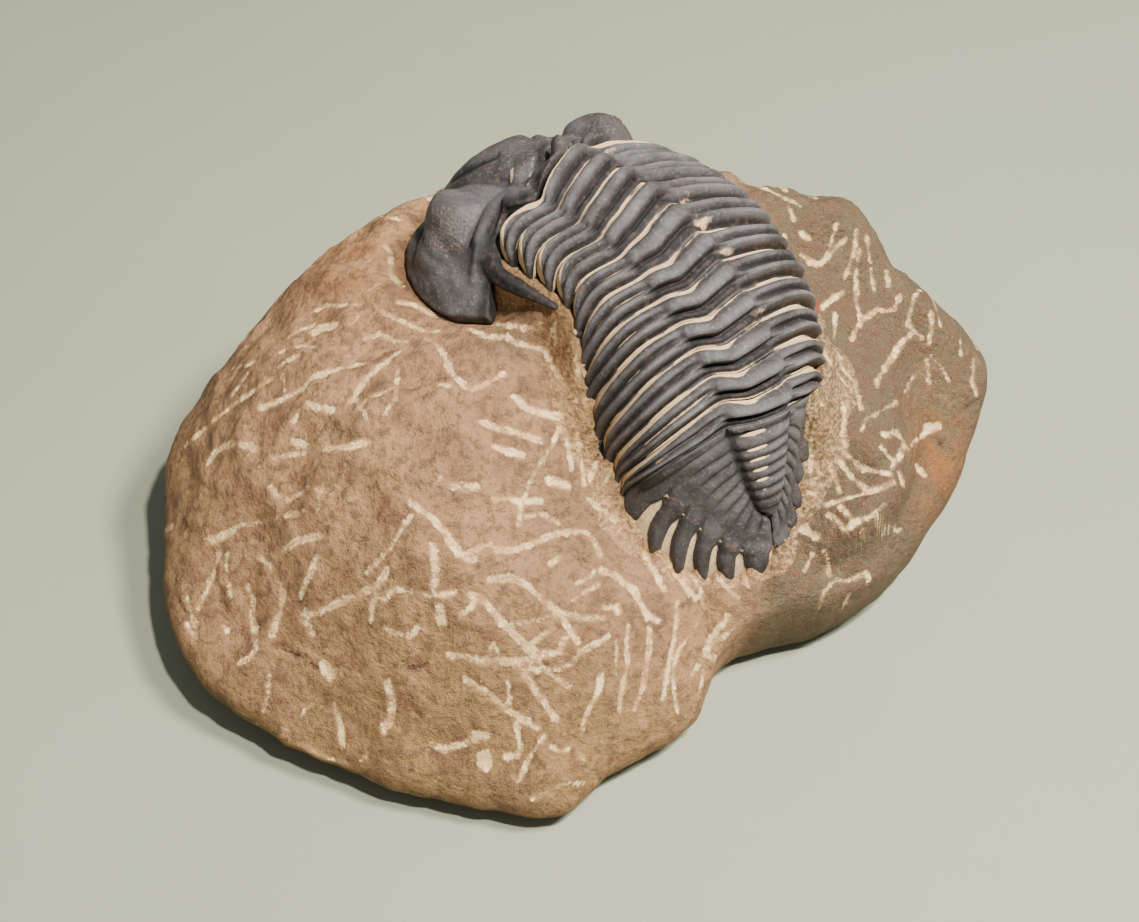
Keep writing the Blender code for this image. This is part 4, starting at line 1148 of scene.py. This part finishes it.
# marks on the cobble: the scratches of the tool that freed the fossil, and the stone's own patches
strokeLook = {
    "soft": 0.8,
    "groove": 0.14,
    "spare": 150,  # scratches on the sides turned away
    "spareSteps": (14, 42),  # least and most
    "step": 0.2,
    "seed": 7,
    # half width, whether pinkish inside, then the places in the frame
    "lines": (
        (2, 0, 317, 311, 325, 306, 339, 305, 357, 304), (2.2, 0, 289, 337, 301, 330, 313, 326),
        (6, 0, 316, 330, 334, 326), (2, 0, 281, 352, 289, 347, 301, 345, 314, 347),
        (1.6, 0, 279, 367, 287, 360, 299, 355), (2.4, 0, 303, 387, 313, 377, 329, 371, 345, 367, 365, 363),
        (3, 0, 261, 408, 277, 402, 293, 394, 305, 387), (2.6, 0, 233, 368, 253, 363),
        (2, 0, 231, 396, 239, 386, 248, 372),
        (2.2, 0, 185, 445, 201, 432, 215, 420, 229, 408, 245, 396, 261, 386, 273, 378),
        (3.6, 1, 209, 462, 217, 450, 233, 442, 249, 446, 257, 450), (1.4, 0, 245, 412, 253, 398),
        (2.2, 0, 293, 423, 299, 410), (3.6, 1, 305, 404, 317, 408, 331, 410),
        (2.8, 1, 293, 441, 305, 446, 321, 448, 345, 447, 367, 442), (2.2, 0, 275, 458, 289, 455, 305, 453),
        (1.3, 0, 246, 454, 258, 467, 267, 474, 271, 481), (3.2, 1, 270, 486, 277, 496, 289, 499, 303, 492),
        (2, 1, 307, 487, 321, 489, 333, 495, 354, 500), (1.6, 0, 319, 490, 317, 514),
        (2, 0, 209, 538, 225, 532, 241, 526, 261, 522, 279, 516, 303, 513), (4.5, 0, 212, 540, 230, 532),
        (3.2, 1, 283, 550, 297, 540, 309, 538, 323, 536),
        (2.2, 0, 367, 572, 377, 562, 389, 550, 399, 534, 411, 516),
        (3.2, 1, 411, 501, 421, 510, 433, 518, 443, 530, 453, 544, 465, 556, 474, 560),
        (1.2, 0, 425, 498, 433, 486, 442, 476), (3.6, 1, 452, 486, 461, 488, 476, 487),
        (2.8, 0, 351, 402, 365, 380, 377, 368, 391, 358, 406, 347), (1.8, 0, 365, 400, 377, 394, 395, 387),
        (1.6, 0, 357, 400, 363, 412, 370, 428), (2, 0, 385, 414, 395, 400, 398, 370),
        (2.2, 0, 365, 338, 381, 334, 393, 341, 405, 341),
        (2.4, 0, 381, 311, 395, 318, 411, 326, 427, 332, 439, 331),
        (3.4, 0, 401, 302, 413, 304, 429, 312, 445, 318, 461, 324),
        (2.7, 1, 427, 338, 439, 346, 447, 362, 453, 374, 465, 385, 471, 390, 485, 384, 503, 374),
        (2.6, 0, 469, 328, 485, 336, 506, 338, 520, 344, 538, 348, 546, 350),
        (2.6, 0, 367, 219, 381, 215, 401, 220), (3, 0, 385, 246, 391, 254, 391, 274, 401, 286),
        (1.6, 0, 360, 268, 377, 254), (1.4, 0, 369, 290, 379, 284), (2.4, 0, 389, 204, 403, 198),
        (2.6, 0, 440, 384, 449, 385), (1.2, 0, 281, 370, 285, 390), (1.2, 0, 350, 326, 359, 314),
        (2.2, 0, 198, 609, 205, 594, 213, 574, 219, 554), (1.6, 0, 227, 554, 226, 570, 229, 586, 231, 596),
        (2.8, 0, 259, 557, 271, 568, 277, 580, 283, 594, 281, 610, 276, 624, 272, 636),
        (3.2, 1, 248, 587, 253, 598, 252, 614, 255, 630, 256, 646, 251, 657, 240, 663),
        (3.2, 0, 317, 556, 311, 570, 305, 584, 301, 596),
        (3, 1, 387, 570, 379, 582, 365, 592, 345, 600, 325, 610, 305, 617),
        (3.2, 0, 303, 614, 309, 628, 313, 636), (3.2, 0, 371, 620, 373, 606, 377, 596),
        (2.4, 0, 381, 602, 391, 592, 403, 588, 415, 594, 429, 597, 453, 593),
        (4, 0, 433, 546, 436, 566, 435, 584), (3.2, 0, 449, 540, 457, 552, 471, 562),
        (2.4, 1, 457, 556, 489, 544), (4, 0, 439, 608, 441, 624), (3, 1, 461, 614, 471, 608, 477, 598),
        (3.2, 1, 471, 594, 485, 602, 495, 614, 503, 624, 516, 636, 528, 650, 540, 654, 560, 652, 564, 640),
        (2.2, 0, 383, 631, 395, 633, 411, 637, 417, 628),
        (3.2, 1, 449, 656, 465, 658, 481, 661, 505, 662, 520, 660, 538, 659),
        (2.8, 1, 465, 680, 477, 688, 489, 694, 503, 706, 520, 717, 538, 728),
        (1.8, 0, 269, 676, 268, 694, 263, 712), (2, 0, 315, 702, 305, 710, 300, 718),
        (2.4, 0, 335, 706, 339, 720, 342, 734, 343, 746),
        (3.6, 1, 386, 682, 391, 696, 393, 712, 391, 722, 383, 730), (1.8, 0, 361, 762, 369, 752),
        (2.6, 0, 429, 744, 445, 748, 465, 744, 485, 740), (5, 0, 475, 735, 485, 737),
        (6.5, 0, 483, 757, 486, 764), (6, 0, 325, 666, 331, 674),
        (1.6, 0, 183, 586, 187, 604, 195, 624, 195, 634), (1.6, 0, 187, 624, 195, 642),
        (2.2, 0, 221, 620, 227, 632), (1.2, 0, 225, 700, 257, 724, 285, 730, 305, 746, 335, 762),
        (1.2, 0, 488, 656, 493, 644, 500, 656), (3.4, 1, 482, 422, 500, 428, 520, 434, 540, 440),
        (2.8, 0, 492, 446, 506, 450, 522, 456), (4, 0, 514, 396, 528, 408, 544, 414, 560, 418),
        (2.8, 0, 546, 350, 552, 366, 560, 378, 568, 394, 576, 400), (2.2, 0, 554, 342, 556, 334),
        (3, 0, 482, 324, 504, 324, 534, 328, 554, 324), (2.2, 0, 574, 356, 578, 374),
        (2, 0, 559, 428, 554, 444, 540, 464, 530, 482, 525, 498), (1.8, 0, 566, 430, 569, 450, 572, 470),
        (2, 0, 576, 434, 581, 456, 584, 486), (3, 0, 494, 500, 510, 498, 520, 502, 542, 500),
        (1.8, 0, 520, 502, 521, 512, 518, 524), (2.2, 1, 528, 516, 542, 514, 560, 524),
        (3, 1, 496, 550, 514, 550, 536, 542, 554, 534, 570, 532, 586, 532, 594, 540, 600, 554),
        (3, 0, 588, 500, 602, 510, 616, 520), (2.2, 0, 550, 564, 562, 556),
        (3.2, 1, 490, 580, 510, 578, 526, 584, 544, 600, 560, 614, 568, 626, 578, 642),
        (3.6, 0, 602, 570, 620, 578, 634, 590, 640, 604, 648, 616, 656, 620),
        (2.2, 0, 574, 600, 584, 592, 598, 585), (1.4, 0, 576, 584, 590, 578, 594, 570),
        (4, 0, 548, 480, 568, 486), (1.6, 0, 530, 646, 538, 638, 554, 629),
        (2.6, 0, 512, 624, 528, 622, 544, 618, 564, 614, 588, 618, 604, 618),
        (1.8, 0, 604, 608, 618, 607, 618, 614), (3, 0, 580, 652, 604, 640, 608, 636),
        (2.4, 1, 516, 666, 532, 670, 560, 669, 574, 662, 575, 658),
        (3.4, 1, 524, 672, 532, 684, 540, 698, 548, 708, 557, 719), (2.2, 0, 546, 672, 560, 680, 570, 687),
        (1.2, 0, 508, 680, 509, 696, 511, 708), (2.4, 0, 602, 676, 598, 692, 590, 706, 582, 726, 582, 736),
        (1.5, 0, 616, 640, 617, 660, 616, 674), (2, 0, 628, 626, 627, 650, 627, 670, 622, 688, 620, 712),
        (2, 1, 650, 628, 649, 650, 646, 674, 640, 694, 634, 710),
        (2.4, 0, 677, 602, 677, 620, 674, 640, 670, 660, 666, 684, 664, 698),
        (1.8, 0, 698, 624, 690, 636, 680, 648, 674, 666, 673, 688, 678, 712),
        (3, 0, 728, 618, 720, 628, 710, 640, 706, 654, 716, 658), (2.2, 0, 732, 630, 724, 636, 712, 644),
        (1.6, 0, 700, 664, 692, 674), (2, 0, 704, 672, 700, 688, 698, 696), (1.6, 0, 694, 708, 684, 720),
        (2.6, 0, 516, 724, 518, 734, 520, 748, 516, 756, 506, 756),
        (2.2, 0, 544, 736, 536, 748, 530, 758, 518, 782), (2, 0, 550, 746, 562, 752, 568, 750),
        (1.6, 0, 578, 750, 584, 760), (1.7, 0, 532, 798, 548, 792, 564, 784, 602, 782),
        (2, 0, 802, 255, 817, 267, 832, 252, 845, 239), (1.6, 0, 836, 225, 831, 245, 826, 258),
        (3, 0, 808, 262, 818, 264), (1.7, 0, 857, 230, 855, 250, 845, 278),
        (2, 0, 859, 250, 856, 278, 856, 300, 860, 322), (1.8, 0, 867, 238, 870, 262, 874, 290),
        (3, 0, 887, 272, 890, 286), (2, 0, 822, 308, 842, 292),
        (2.2, 1, 852, 338, 862, 320, 878, 310, 895, 310, 900, 295), (2.2, 0, 835, 315, 835, 338),
        (2.3, 0, 840, 355, 842, 368, 855, 382, 861, 408), (2, 0, 810, 332, 825, 355, 842, 380, 852, 392),
        (2.3, 0, 842, 400, 845, 420, 842, 435, 847, 445), (1.8, 0, 862, 430, 867, 418, 882, 410, 897, 402),
        (3.3, 1, 877, 384, 887, 365, 900, 345, 910, 335), (2.2, 0, 909, 320, 915, 295, 920, 290),
        (2, 0, 909, 325, 922, 338), (2.4, 0, 905, 392, 915, 375), (2, 0, 932, 312, 932, 330, 929, 345),
        (2, 0, 926, 360, 929, 382), (1.8, 0, 932, 356, 942, 368, 949, 382), (2.2, 0, 961, 342, 961, 355),
        (2.2, 0, 974, 360, 972, 380, 977, 395), (2.4, 0, 884, 435, 897, 432, 905, 442, 897, 460, 892, 468),
        (1.8, 0, 882, 448, 892, 460), (2.4, 0, 897, 460, 912, 445, 925, 432), (5, 0, 928, 428, 938, 426),
        (2.2, 0, 845, 452, 860, 468, 878, 472, 892, 474), (2.2, 0, 840, 460, 852, 478, 870, 492),
        (2.2, 0, 828, 460, 835, 478, 840, 492), (2.3, 0, 810, 492, 825, 505, 848, 498, 870, 492, 895, 482),
        (4, 0, 900, 474, 904, 484), (4, 0, 917, 467, 924, 474),
        (2.6, 0, 840, 505, 852, 520, 870, 518, 885, 505), (3, 0, 830, 515, 845, 528, 860, 520),
        (2.2, 0, 852, 538, 875, 540, 900, 530), (4, 0, 804, 529, 816, 536), (2, 0, 825, 550, 830, 575),
        (2, 0, 805, 570, 812, 555), (2, 0, 820, 610, 822, 595, 832, 582, 850, 580, 867, 572, 870, 585),
        (3, 0, 843, 608, 849, 596), (2.2, 0, 802, 420, 810, 445, 811, 470),
        (1.8, 0, 807, 402, 815, 422, 812, 435), (2, 0, 787, 485, 795, 498, 802, 515),
        (1.6, 0, 812, 372, 822, 405), (2.2, 0, 785, 235, 785, 248, 795, 265, 802, 282),
        (2.6, 0, 790, 210, 794, 218), (3, 0, 803, 234, 808, 237),
        (2.4, 0, 700, 172, 720, 182, 745, 200, 762, 225), (2.2, 0, 742, 182, 770, 190, 800, 205),
        (3, 0, 644, 552, 652, 566, 664, 590), (3, 0, 667, 560, 676, 574, 696, 598),
        (2.6, 0, 692, 574, 700, 588, 704, 604), (2.4, 0, 718, 580, 738, 598), (2.2, 0, 744, 572, 748, 586),
        (2.4, 0, 590, 482, 596, 462), (2.4, 0, 606, 482, 612, 470),
    ),
    # reddish veins and stains: half width, strength, places
    "veins": (
        (2.5, 1, 775, 250, 788, 268, 800, 290), (4, 1, 813, 298, 817, 310), (2, .6, 597, 540, 602, 556),
        (2, .5, 590, 700, 596, 712),
    ),
    # cracks and dark pits
    "cracks": (
        (1.2, 1, 280, 648, 300, 656, 318, 668), (1.2, .8, 395, 684, 405, 680), (1, .8, 399, 700, 416, 712),
        (1.4, 1, 512, 392, 530, 390), (1.2, .8, 352, 261, 363, 253), (1.2, .8, 213, 580, 222, 604, 230, 626),
        (1.2, .8, 177, 598, 192, 632), (1.2, .7, 181, 520, 190, 532), (4, .7, 408, 668, 424, 666),
        (1.6, 1, 940, 443, 943, 448), (1.5, .8, 980, 400, 962, 412), (1.5, .7, 700, 606, 722, 590),
        (1, .7, 420, 757, 430, 752),
    ),
}


def laidLines(tree, lines):  # points on the stone with each line's half width and second number
    points, sizes, kinds = [], [], []
    for width, kind, *line in lines:
        found = castLine(tree, list(zip(line[::2], line[1::2])), strokeLook["step"])
        points += found
        sizes += [width / cameraLook["scale"]] * len(found)
        kinds += [kind] * len(found)
    return points, sizes, kinds


def spareLines(obj):  # random scratches on the faces turned away, as points on the stone
    drawn = np.random.default_rng(strokeLook["seed"])
    least, most = strokeLook["spareSteps"]
    tree = treeOf(obj)
    points, sizes, kinds = [], [], []
    view = Vector(unit(np.array(cameraLook["place"]) - np.array(cameraLook["aim"])))
    while len(kinds) < strokeLook["spare"] * (least + most) / 2:
        turn, height = drawn.uniform(0, 2 * math.pi), drawn.uniform(4, 46)
        width, bend = drawn.uniform(0.14, 0.42), drawn.uniform(-0.5, 0.5)
        lean = drawn.uniform(0, 2 * math.pi)
        start = Vector((90 * math.cos(turn), 90 * math.sin(turn), height + drawn.uniform(0, 30)))
        way = (Vector((0, 0, height * 0.6)) - start).normalized()
        hit, normal = tree.ray_cast(start, way)[:2]
        if hit is None or normal.dot(view) > 0.12:
            continue
        one = unit(np.cross(normal, (0.3, 0.2, 1.0)))
        two = np.cross(normal, one)
        pink = float(drawn.random() < 0.3)
        place = np.array(hit)
        for _ in range(int(drawn.uniform(least, most))):
            lean += bend * 0.08
            place = place + (one * math.cos(lean) + two * math.sin(lean)) * strokeLook["step"]
            place = np.array(tree.find_nearest(Vector(place))[0])
            points.append(tuple(place))
            sizes.append(width)
            kinds.append(pink)
    return points, sizes, kinds


def fieldOf(spots, lines):  # from each point: how far inside the nearest line it is, and that line's kind
    points, sizes, kinds = lines
    tree = pointTree(points)
    inside = np.full(len(spots), -9.0)
    apart = np.full(len(spots), 9.0)
    kind = np.zeros(len(spots))
    for i, spot in enumerate(spots):
        for _, n, d in tree.find_n(spot, 3):
            if sizes[n] - d > inside[i]:
                inside[i], apart[i], kind[i] = sizes[n] - d, d, kinds[n]
    return inside, apart, kind


def markRock(obj, fossil):
    spots = places(obj)
    tree = treeOf(obj)
    low, under = fossil
    edgeHeight = sampleGrid(spread(under, 6.0, 1.0, 1), low, spots[:, :2], nowhere)
    near = smooth(-(edgeHeight - spots[:, 2]), -0.6, 0.0)
    seen, spare = laidLines(tree, strokeLook["lines"]), spareLines(obj)
    inside, apart, kind = fieldOf(spots, [a + b for a, b in zip(seen, spare)])
    soft = strokeLook["soft"]
    inside += 0.15 * noiseAt(spots, 1.7, 9.0) + 0.12 * noiseAt(spots, 0.7, 4.0) - 0.08
    stroke = np.clip(0.5 + inside / soft, 0, 1)
    pinkLine = np.clip(0.5 + (0.12 - apart) / soft, 0, 1) * (kind > 0)
    inCrack, _, depth = fieldOf(spots, laidLines(tree, strokeLook["cracks"]))
    crack = np.clip(0.5 + inCrack / 0.5, 0, 1) * depth
    inVein, _, strength = fieldOf(spots, laidLines(tree, strokeLook["veins"]))
    vein = np.clip(0.5 + inVein / 0.6, 0, 1) * strength
    setMarks(obj, "marks", (near, stroke, pinkLine, crack))
    # patches of other colour on the stone
    x, y = spots[:, :2].T
    olive = smooth(-y, 14, 34) * 0.8 + 0.8 * bump(np.hypot(x - 41, y - 26), 0, 5) + 0.35 * smooth(-x, 36, 46)
    grey = smooth(x, 15, 25) + 0.8 * bump(np.hypot(x + 6.5, y - 3.5), 0, 2.6)
    grey += 0.4 * bump(np.hypot(x - 2, (y + 12) * 0.8), 0, 11)
    orange = bump(np.hypot(x - 45, (y - 3) * 0.6), 0, 4) + 0.8 * bump(np.hypot(x + 27, (y - 21) * 0.7), 0, 6)
    setMarks(obj, "tint", (np.clip(olive, 0, 1), np.clip(grey, 0, 1), np.clip(orange, 0, 1), vein))
    normal = normals(obj)
    # shallow grooves, deeper cracks
    drop = strokeLook["groove"] * smooth(inside, -0.25, 0.15) + 0.5 * smooth(inCrack, -0.3, 0.1) * depth
    setCoords(obj, spots - normal * drop[:, None])


markRock(rockPiece, fossilMap)
print("cobble marked")


# finishes
def addNode(tree, kind, **values):
    made = tree.nodes.new(kind)
    for key, value in values.items():
        made.inputs[key].default_value = value
    return made


def wire(tree, source, target):
    tree.links.new(source, target)


def feed(tree, value, target):  # a number, a colour or another node's output
    if isinstance(value, (int, float)):
        target.default_value = value
    elif isinstance(value, tuple):
        target.default_value = (*value, 1.0)
    else:
        wire(tree, value, target)


def mixColour(tree, fac, one, two):
    made = tree.nodes.new("ShaderNodeMix")
    made.data_type = "RGBA"
    for socket, value in ((0, fac), (6, one), (7, two)):
        feed(tree, value, made.inputs[socket])
    return made.outputs[2]


def maths(tree, operation, one, two=0.0, clamp=False):
    made = tree.nodes.new("ShaderNodeMath")
    made.operation = operation
    made.use_clamp = clamp
    feed(tree, one, made.inputs[0])
    feed(tree, two, made.inputs[1])
    return made.outputs[0]


def times(tree, one, two):
    return maths(tree, "MULTIPLY", one, two)


def stained(tree, body, colour, mask, amount):  # the body's colour, with another laid over by a mask
    return mixColour(tree, times(tree, mask, amount), body, colour)


def heaped(tree, first, *rest):  # the sum of values, each times its share
    total = times(tree, *first)
    for value, share in rest:
        total = maths(tree, "ADD", total, times(tree, value, share))
    return total


def spanned(tree, value, low, high):  # 0 below low, 1 above high, eased between
    made = tree.nodes.new("ShaderNodeMapRange")
    made.interpolation_type = "SMOOTHSTEP"
    made.inputs["From Min"].default_value = low
    made.inputs["From Max"].default_value = high
    wire(tree, value, made.inputs["Value"])
    return made.outputs["Result"]


def newGroup(name, inputs, outputs):
    group = bpy.data.node_groups.new(name, "ShaderNodeTree")
    for way, labels in (("INPUT", inputs), ("OUTPUT", outputs)):
        for label in labels:
            group.interface.new_socket(label, in_out=way, socket_type="NodeSocketFloat")
    return group, group.nodes.new("NodeGroupInput").outputs, group.nodes.new("NodeGroupOutput").inputs


def makeGrainGroup():  # two sizes of mineral noise and a speck mask, by a size in metres
    group, given, put = newGroup("mineralGrain", ("Size",), ("Coarse", "Fine", "Speck"))
    spot = group.nodes.new("ShaderNodeTexCoord").outputs["Object"]
    scale = maths(group, "DIVIDE", 1.0, given["Size"])
    coarse = addNode(group, "ShaderNodeTexNoise", Detail=5.0, Roughness=0.6)
    fine = addNode(group, "ShaderNodeTexNoise", Detail=4.0, Roughness=0.65)
    speck = addNode(group, "ShaderNodeTexVoronoi")
    for made, finer in ((coarse, 1.0), (fine, 9.0), (speck, 2.6)):
        wire(group, spot, made.inputs["Vector"])
        wire(group, times(group, scale, finer), made.inputs["Scale"])
    wire(group, coarse.outputs["Fac"], put["Coarse"])
    wire(group, fine.outputs["Fac"], put["Fine"])
    inside = maths(group, "SUBTRACT", 0.22, speck.outputs["Distance"])
    wire(group, spanned(group, inside, 0.0, 0.08), put["Speck"])
    return group


def makeFillGroup():  # crisp, broken-edged mask from a soft mark on the mesh
    group, given, put = newGroup("brokenMark", ("Mark", "Noise", "Level"), ("Mask",))
    uneven = times(group, maths(group, "SUBTRACT", given["Noise"], 0.5), 0.9)
    total = maths(group, "ADD", given["Mark"], uneven)
    total = maths(group, "SUBTRACT", total, given["Level"])
    wire(group, spanned(group, total, -0.16, 0.16), put["Mask"])
    return group


grainGroup = makeGrainGroup()
fillGroup = makeFillGroup()


def placed(tree, group, **values):  # the group as a node
    made = tree.nodes.new("ShaderNodeGroup")
    made.node_tree = group
    for key, value in values.items():
        feed(tree, value, made.inputs[key])
    return made.outputs


def grain(tree, size):
    return placed(tree, grainGroup, Size=size)


def broken(tree, mark, noiseValue, level):
    return placed(tree, fillGroup, Mark=mark, Noise=noiseValue, Level=level)["Mask"]


def meshMarks(tree, name):
    made = tree.nodes.new("ShaderNodeAttribute")
    made.attribute_name = name
    split = tree.nodes.new("ShaderNodeSeparateColor")
    wire(tree, made.outputs["Color"], split.inputs["Color"])
    return (*split.outputs[:3], made.outputs["Alpha"])


def newFinish(name):
    made = bpy.data.materials.new(name)
    made.use_nodes = True
    return made, made.node_tree, made.node_tree.nodes["Principled BSDF"]


def setBump(tree, shader, height, strength, distance):
    lift = addNode(tree, "ShaderNodeBump", Strength=strength, Distance=distance)
    wire(tree, height, lift.inputs["Height"])
    wire(tree, lift.outputs["Normal"], shader.inputs["Normal"])


shellColours = {
    "dark": linear("363332"),
    "mid": linear("4f4c4b"),
    # colour of the painted highlight on the crests
    "paintedHighlight": linear("767577"),
    # near black, for painted shade in the furrows and joints
    "furrow": linear("090706"),
    "cream": linear("e6c99c"),
    "creamDark": linear("a98560"),
    "worn": linear("5c473f"),
    "speck": linear("8b8480"),
    "roughness": 0.62,
    "specular": 0.3,
    "bump": (0.85, 0.00016),  # strength, depth in metres
}


def makeShellFinish():
    look = shellColours
    made, tree, shader = newFinish("calciteShell")
    cream, dark, paintedHighlight, lens = meshMarks(tree, "marks")
    big, small, tiny = (grain(tree, size) for size in (0.0045, 0.0009, 0.0004))
    body = mixColour(tree, spanned(tree, big["Coarse"], 0.35, 0.68), look["dark"], look["mid"])
    # painted highlight on the crests, broken by noise
    shine = times(tree, paintedHighlight, spanned(tree, big["Coarse"], 0.2, 0.65))
    body = stained(tree, body, look["paintedHighlight"], shine, 0.55)
    body = stained(tree, body, look["speck"], spanned(tree, tiny["Coarse"], 0.52, 0.7), 0.45)
    body = stained(tree, body, look["dark"], spanned(tree, tiny["Fine"], 0.5, 0.66), 0.4)
    # painted shade from the dark mark, with some of the furrows' own dark colour
    body = stained(tree, body, look["furrow"], dark, 0.93)
    body = stained(tree, body, look["worn"], spanned(tree, small["Coarse"], 0.5, 0.7), 0.5)
    fill = broken(tree, cream, small["Coarse"], 0.5)
    stone = mixColour(tree, spanned(tree, small["Fine"], 0.35, 0.6), look["creamDark"], look["cream"])
    body = mixColour(tree, fill, body, stone)
    grit = times(tree, lens, spanned(tree, tiny["Fine"], 0.54, 0.62))
    body = stained(tree, body, look["creamDark"], grit, spanned(tree, big["Fine"], 0.4, 0.6))
    wire(tree, body, shader.inputs["Base Color"])
    rough = maths(tree, "ADD", times(tree, small["Fine"], 0.25), look["roughness"] - 0.12)
    rough = maths(tree, "ADD", rough, times(tree, fill, 0.3), clamp=True)
    wire(tree, rough, shader.inputs["Roughness"])
    shader.inputs["Specular IOR Level"].default_value = look["specular"]
    # facets of the eyes, then fine pits all over
    facets = addNode(tree, "ShaderNodeTexVoronoi", Scale=1 / (headLook["facet"] * mm), Randomness=0.8)
    wire(tree, tree.nodes.new("ShaderNodeTexCoord").outputs["Object"], facets.inputs["Vector"])
    beads = times(tree, maths(tree, "SUBTRACT", 0.6, facets.outputs["Distance"]), lens)
    height = heaped(tree, (small["Fine"], 0.5), (beads, 1.3), (tiny["Coarse"], 0.8), (small["Coarse"], 0.6))
    setBump(tree, shader, height, *look["bump"])
    return made


stoneColours = {
    "base": linear("96704e"),
    "pale": linear("ab835a"),
    "brown": linear("634632"),
    "cream": linear("e3b67c"),
    "creamPale": linear("fce0a8"),
    "pink": linear("b86a50"),
    "red": linear("8c4030"),
    "olive": linear("7f6538"),
    "grey": linear("5a4f39"),
    "orange": linear("8f5a28"),
    "dust": linear("b98f68"),
    "umber": linear("4a3226"),
    "roughness": 0.86,
    "specular": 0.3,
    "bump": (1.0, 0.0006),  # strength, depth in metres
}


def makeStoneFinish():
    look = stoneColours
    made, tree, shader = newFinish("limestoneMatrix")
    near, stroke, pinkLine, crack = meshMarks(tree, "marks")
    olive, grey, orange, vein = meshMarks(tree, "tint")
    big, middle, small, fine = (grain(tree, size) for size in (0.014, 0.0045, 0.0013, 0.0005))
    body = mixColour(tree, spanned(tree, big["Coarse"], 0.35, 0.65), look["base"], look["pale"])
    # the stone's patches, then mottling from coarse to fine: colour, where or how much, and its noise
    for colour, amount, value, low, high in (
        ("olive", olive, big["Fine"], 0.3, 0.55),
        ("grey", grey, middle["Coarse"], 0.1, 0.45),
        ("orange", orange, middle["Coarse"], 0.35, 0.6),
        ("brown", 0.6, middle["Coarse"], 0.48, 0.66),
        ("brown", 0.7, small["Coarse"], 0.48, 0.62),
        ("dust", 0.5, small["Fine"], 0.52, 0.68),
        ("umber", 0.4, fine["Coarse"], 0.5, 0.7),
    ):
        body = stained(tree, body, look[colour], amount, spanned(tree, value, low, high))
    specks = times(tree, middle["Speck"], spanned(tree, big["Coarse"], 0.5, 0.6))
    body = stained(tree, body, look["red"], specks, 0.35)
    # cream beside the shell, then the scratches: a soft halo, the line and its pink core
    ring = broken(tree, near, small["Coarse"], 0.62)
    body = stained(tree, body, look["cream"], ring, spanned(tree, middle["Fine"], 0.35, 0.85))
    body = stained(tree, body, look["cream"], broken(tree, stroke, middle["Coarse"], 0.34), 0.3)
    chalk = mixColour(tree, spanned(tree, small["Coarse"], 0.35, 0.65), look["cream"], look["creamPale"])
    uneven = heaped(tree, (small["Coarse"], 1.3), (middle["Fine"], 1.5))
    line = broken(tree, stroke, maths(tree, "SUBTRACT", uneven, 0.9), 0.5)
    faint = times(tree, spanned(tree, middle["Coarse"], 0.35, 0.6), 0.55)
    line = times(tree, line, maths(tree, "ADD", 0.45, faint))
    body = stained(tree, body, chalk, line, spanned(tree, fine["Coarse"], 0.15, 0.5))
    for colour, mark, value, level, amount in (
        ("pink", pinkLine, small["Fine"], 0.5, 0.75),
        ("red", vein, small["Coarse"], 0.55, 0.75),
        ("umber", crack, fine["Coarse"], 0.5, 0.8),
    ):
        body = stained(tree, body, look[colour], broken(tree, mark, value, level), amount)
    wire(tree, body, shader.inputs["Base Color"])
    shader.inputs["Roughness"].default_value = look["roughness"]
    shader.inputs["Specular IOR Level"].default_value = look["specular"]
    height = heaped(tree, (small["Coarse"], 1.0), (middle["Coarse"], 2.2), (small["Fine"], 0.35),
                    (fine["Coarse"], 0.5))
    setBump(tree, shader, height, *look["bump"])
    return made


floorLook = {
    "size": 3.0,  # metres
    "colour": linear("90957f"),
    "second": linear("898e79"),
    "roughness": 0.7,
    "cloud": 0.05,
}


def makeFloorFinish():
    made, tree, shader = newFinish("paleFloor")
    cloud = grain(tree, floorLook["cloud"])
    body = mixColour(tree, cloud["Coarse"], floorLook["colour"], floorLook["second"])
    wire(tree, body, shader.inputs["Base Color"])
    shader.inputs["Roughness"].default_value = floorLook["roughness"]
    return made


def makeFloor():
    deselectAll()
    bpy.ops.mesh.primitive_plane_add(size=floorLook["size"])
    made = bpy.context.object
    made.name = "tableTop"
    made.data.materials.append(makeFloorFinish())


makeFloor()
shellFinish = makeShellFinish()
stoneFinish = makeStoneFinish()


def finishPiece(obj, node, finish):
    obj.data.materials.clear()
    obj.data.materials.append(finish)
    pickOnly(obj)
    bpy.ops.object.shade_smooth()
    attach(obj, "root")
    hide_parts(node)


finishPiece(rockPiece, "matrix", stoneFinish)
finishPiece(headPlate, "cephalon", shellFinish)
finishPiece(tailPlate, "pygidium", shellFinish)
for k, plate in enumerate(thoraxPlates):
    finishPiece(plate, f"thorax_segment_{k + 1:02d}", shellFinish)
print("finishes set")


# light: soft from the upper right, fill all round
lightLook = {
    "aim": (0, 0, 0.02),
    # place in metres, size, power, colour
    "key": ((0.24, -0.05, 0.44), 0.1, 4.7, (1.0, 0.96, 0.9)),
    "front": ((0.09, -0.1, 0.36), 0.02, 2.3, (1.0, 0.97, 0.93)),
    "sky": ((0.95, 0.97, 1.0), 0.3),  # colour, strength
}


def addLight(name, place, size, power, colour):
    way = Vector(lightLook["aim"]) - Vector(place)
    turn = way.to_track_quat("-Z", "Y").to_euler()
    bpy.ops.object.light_add(type="AREA", location=place, rotation=turn)
    made = bpy.context.object
    made.name = name
    made.data.shape = "DISK"
    made.data.size = size
    made.data.energy = power
    made.data.color = colour


addLight("keyLight", *lightLook["key"])
addLight("frontLight", *lightLook["front"])
world = bpy.data.worlds.new("softSky")
world.use_nodes = True
skyInputs = world.node_tree.nodes["Background"].inputs
skyColour, skyStrength = lightLook["sky"]
skyInputs["Color"].default_value = (*skyColour, 1.0)
skyInputs["Strength"].default_value = skyStrength
bpy.context.scene.world = world
print("lights placed")
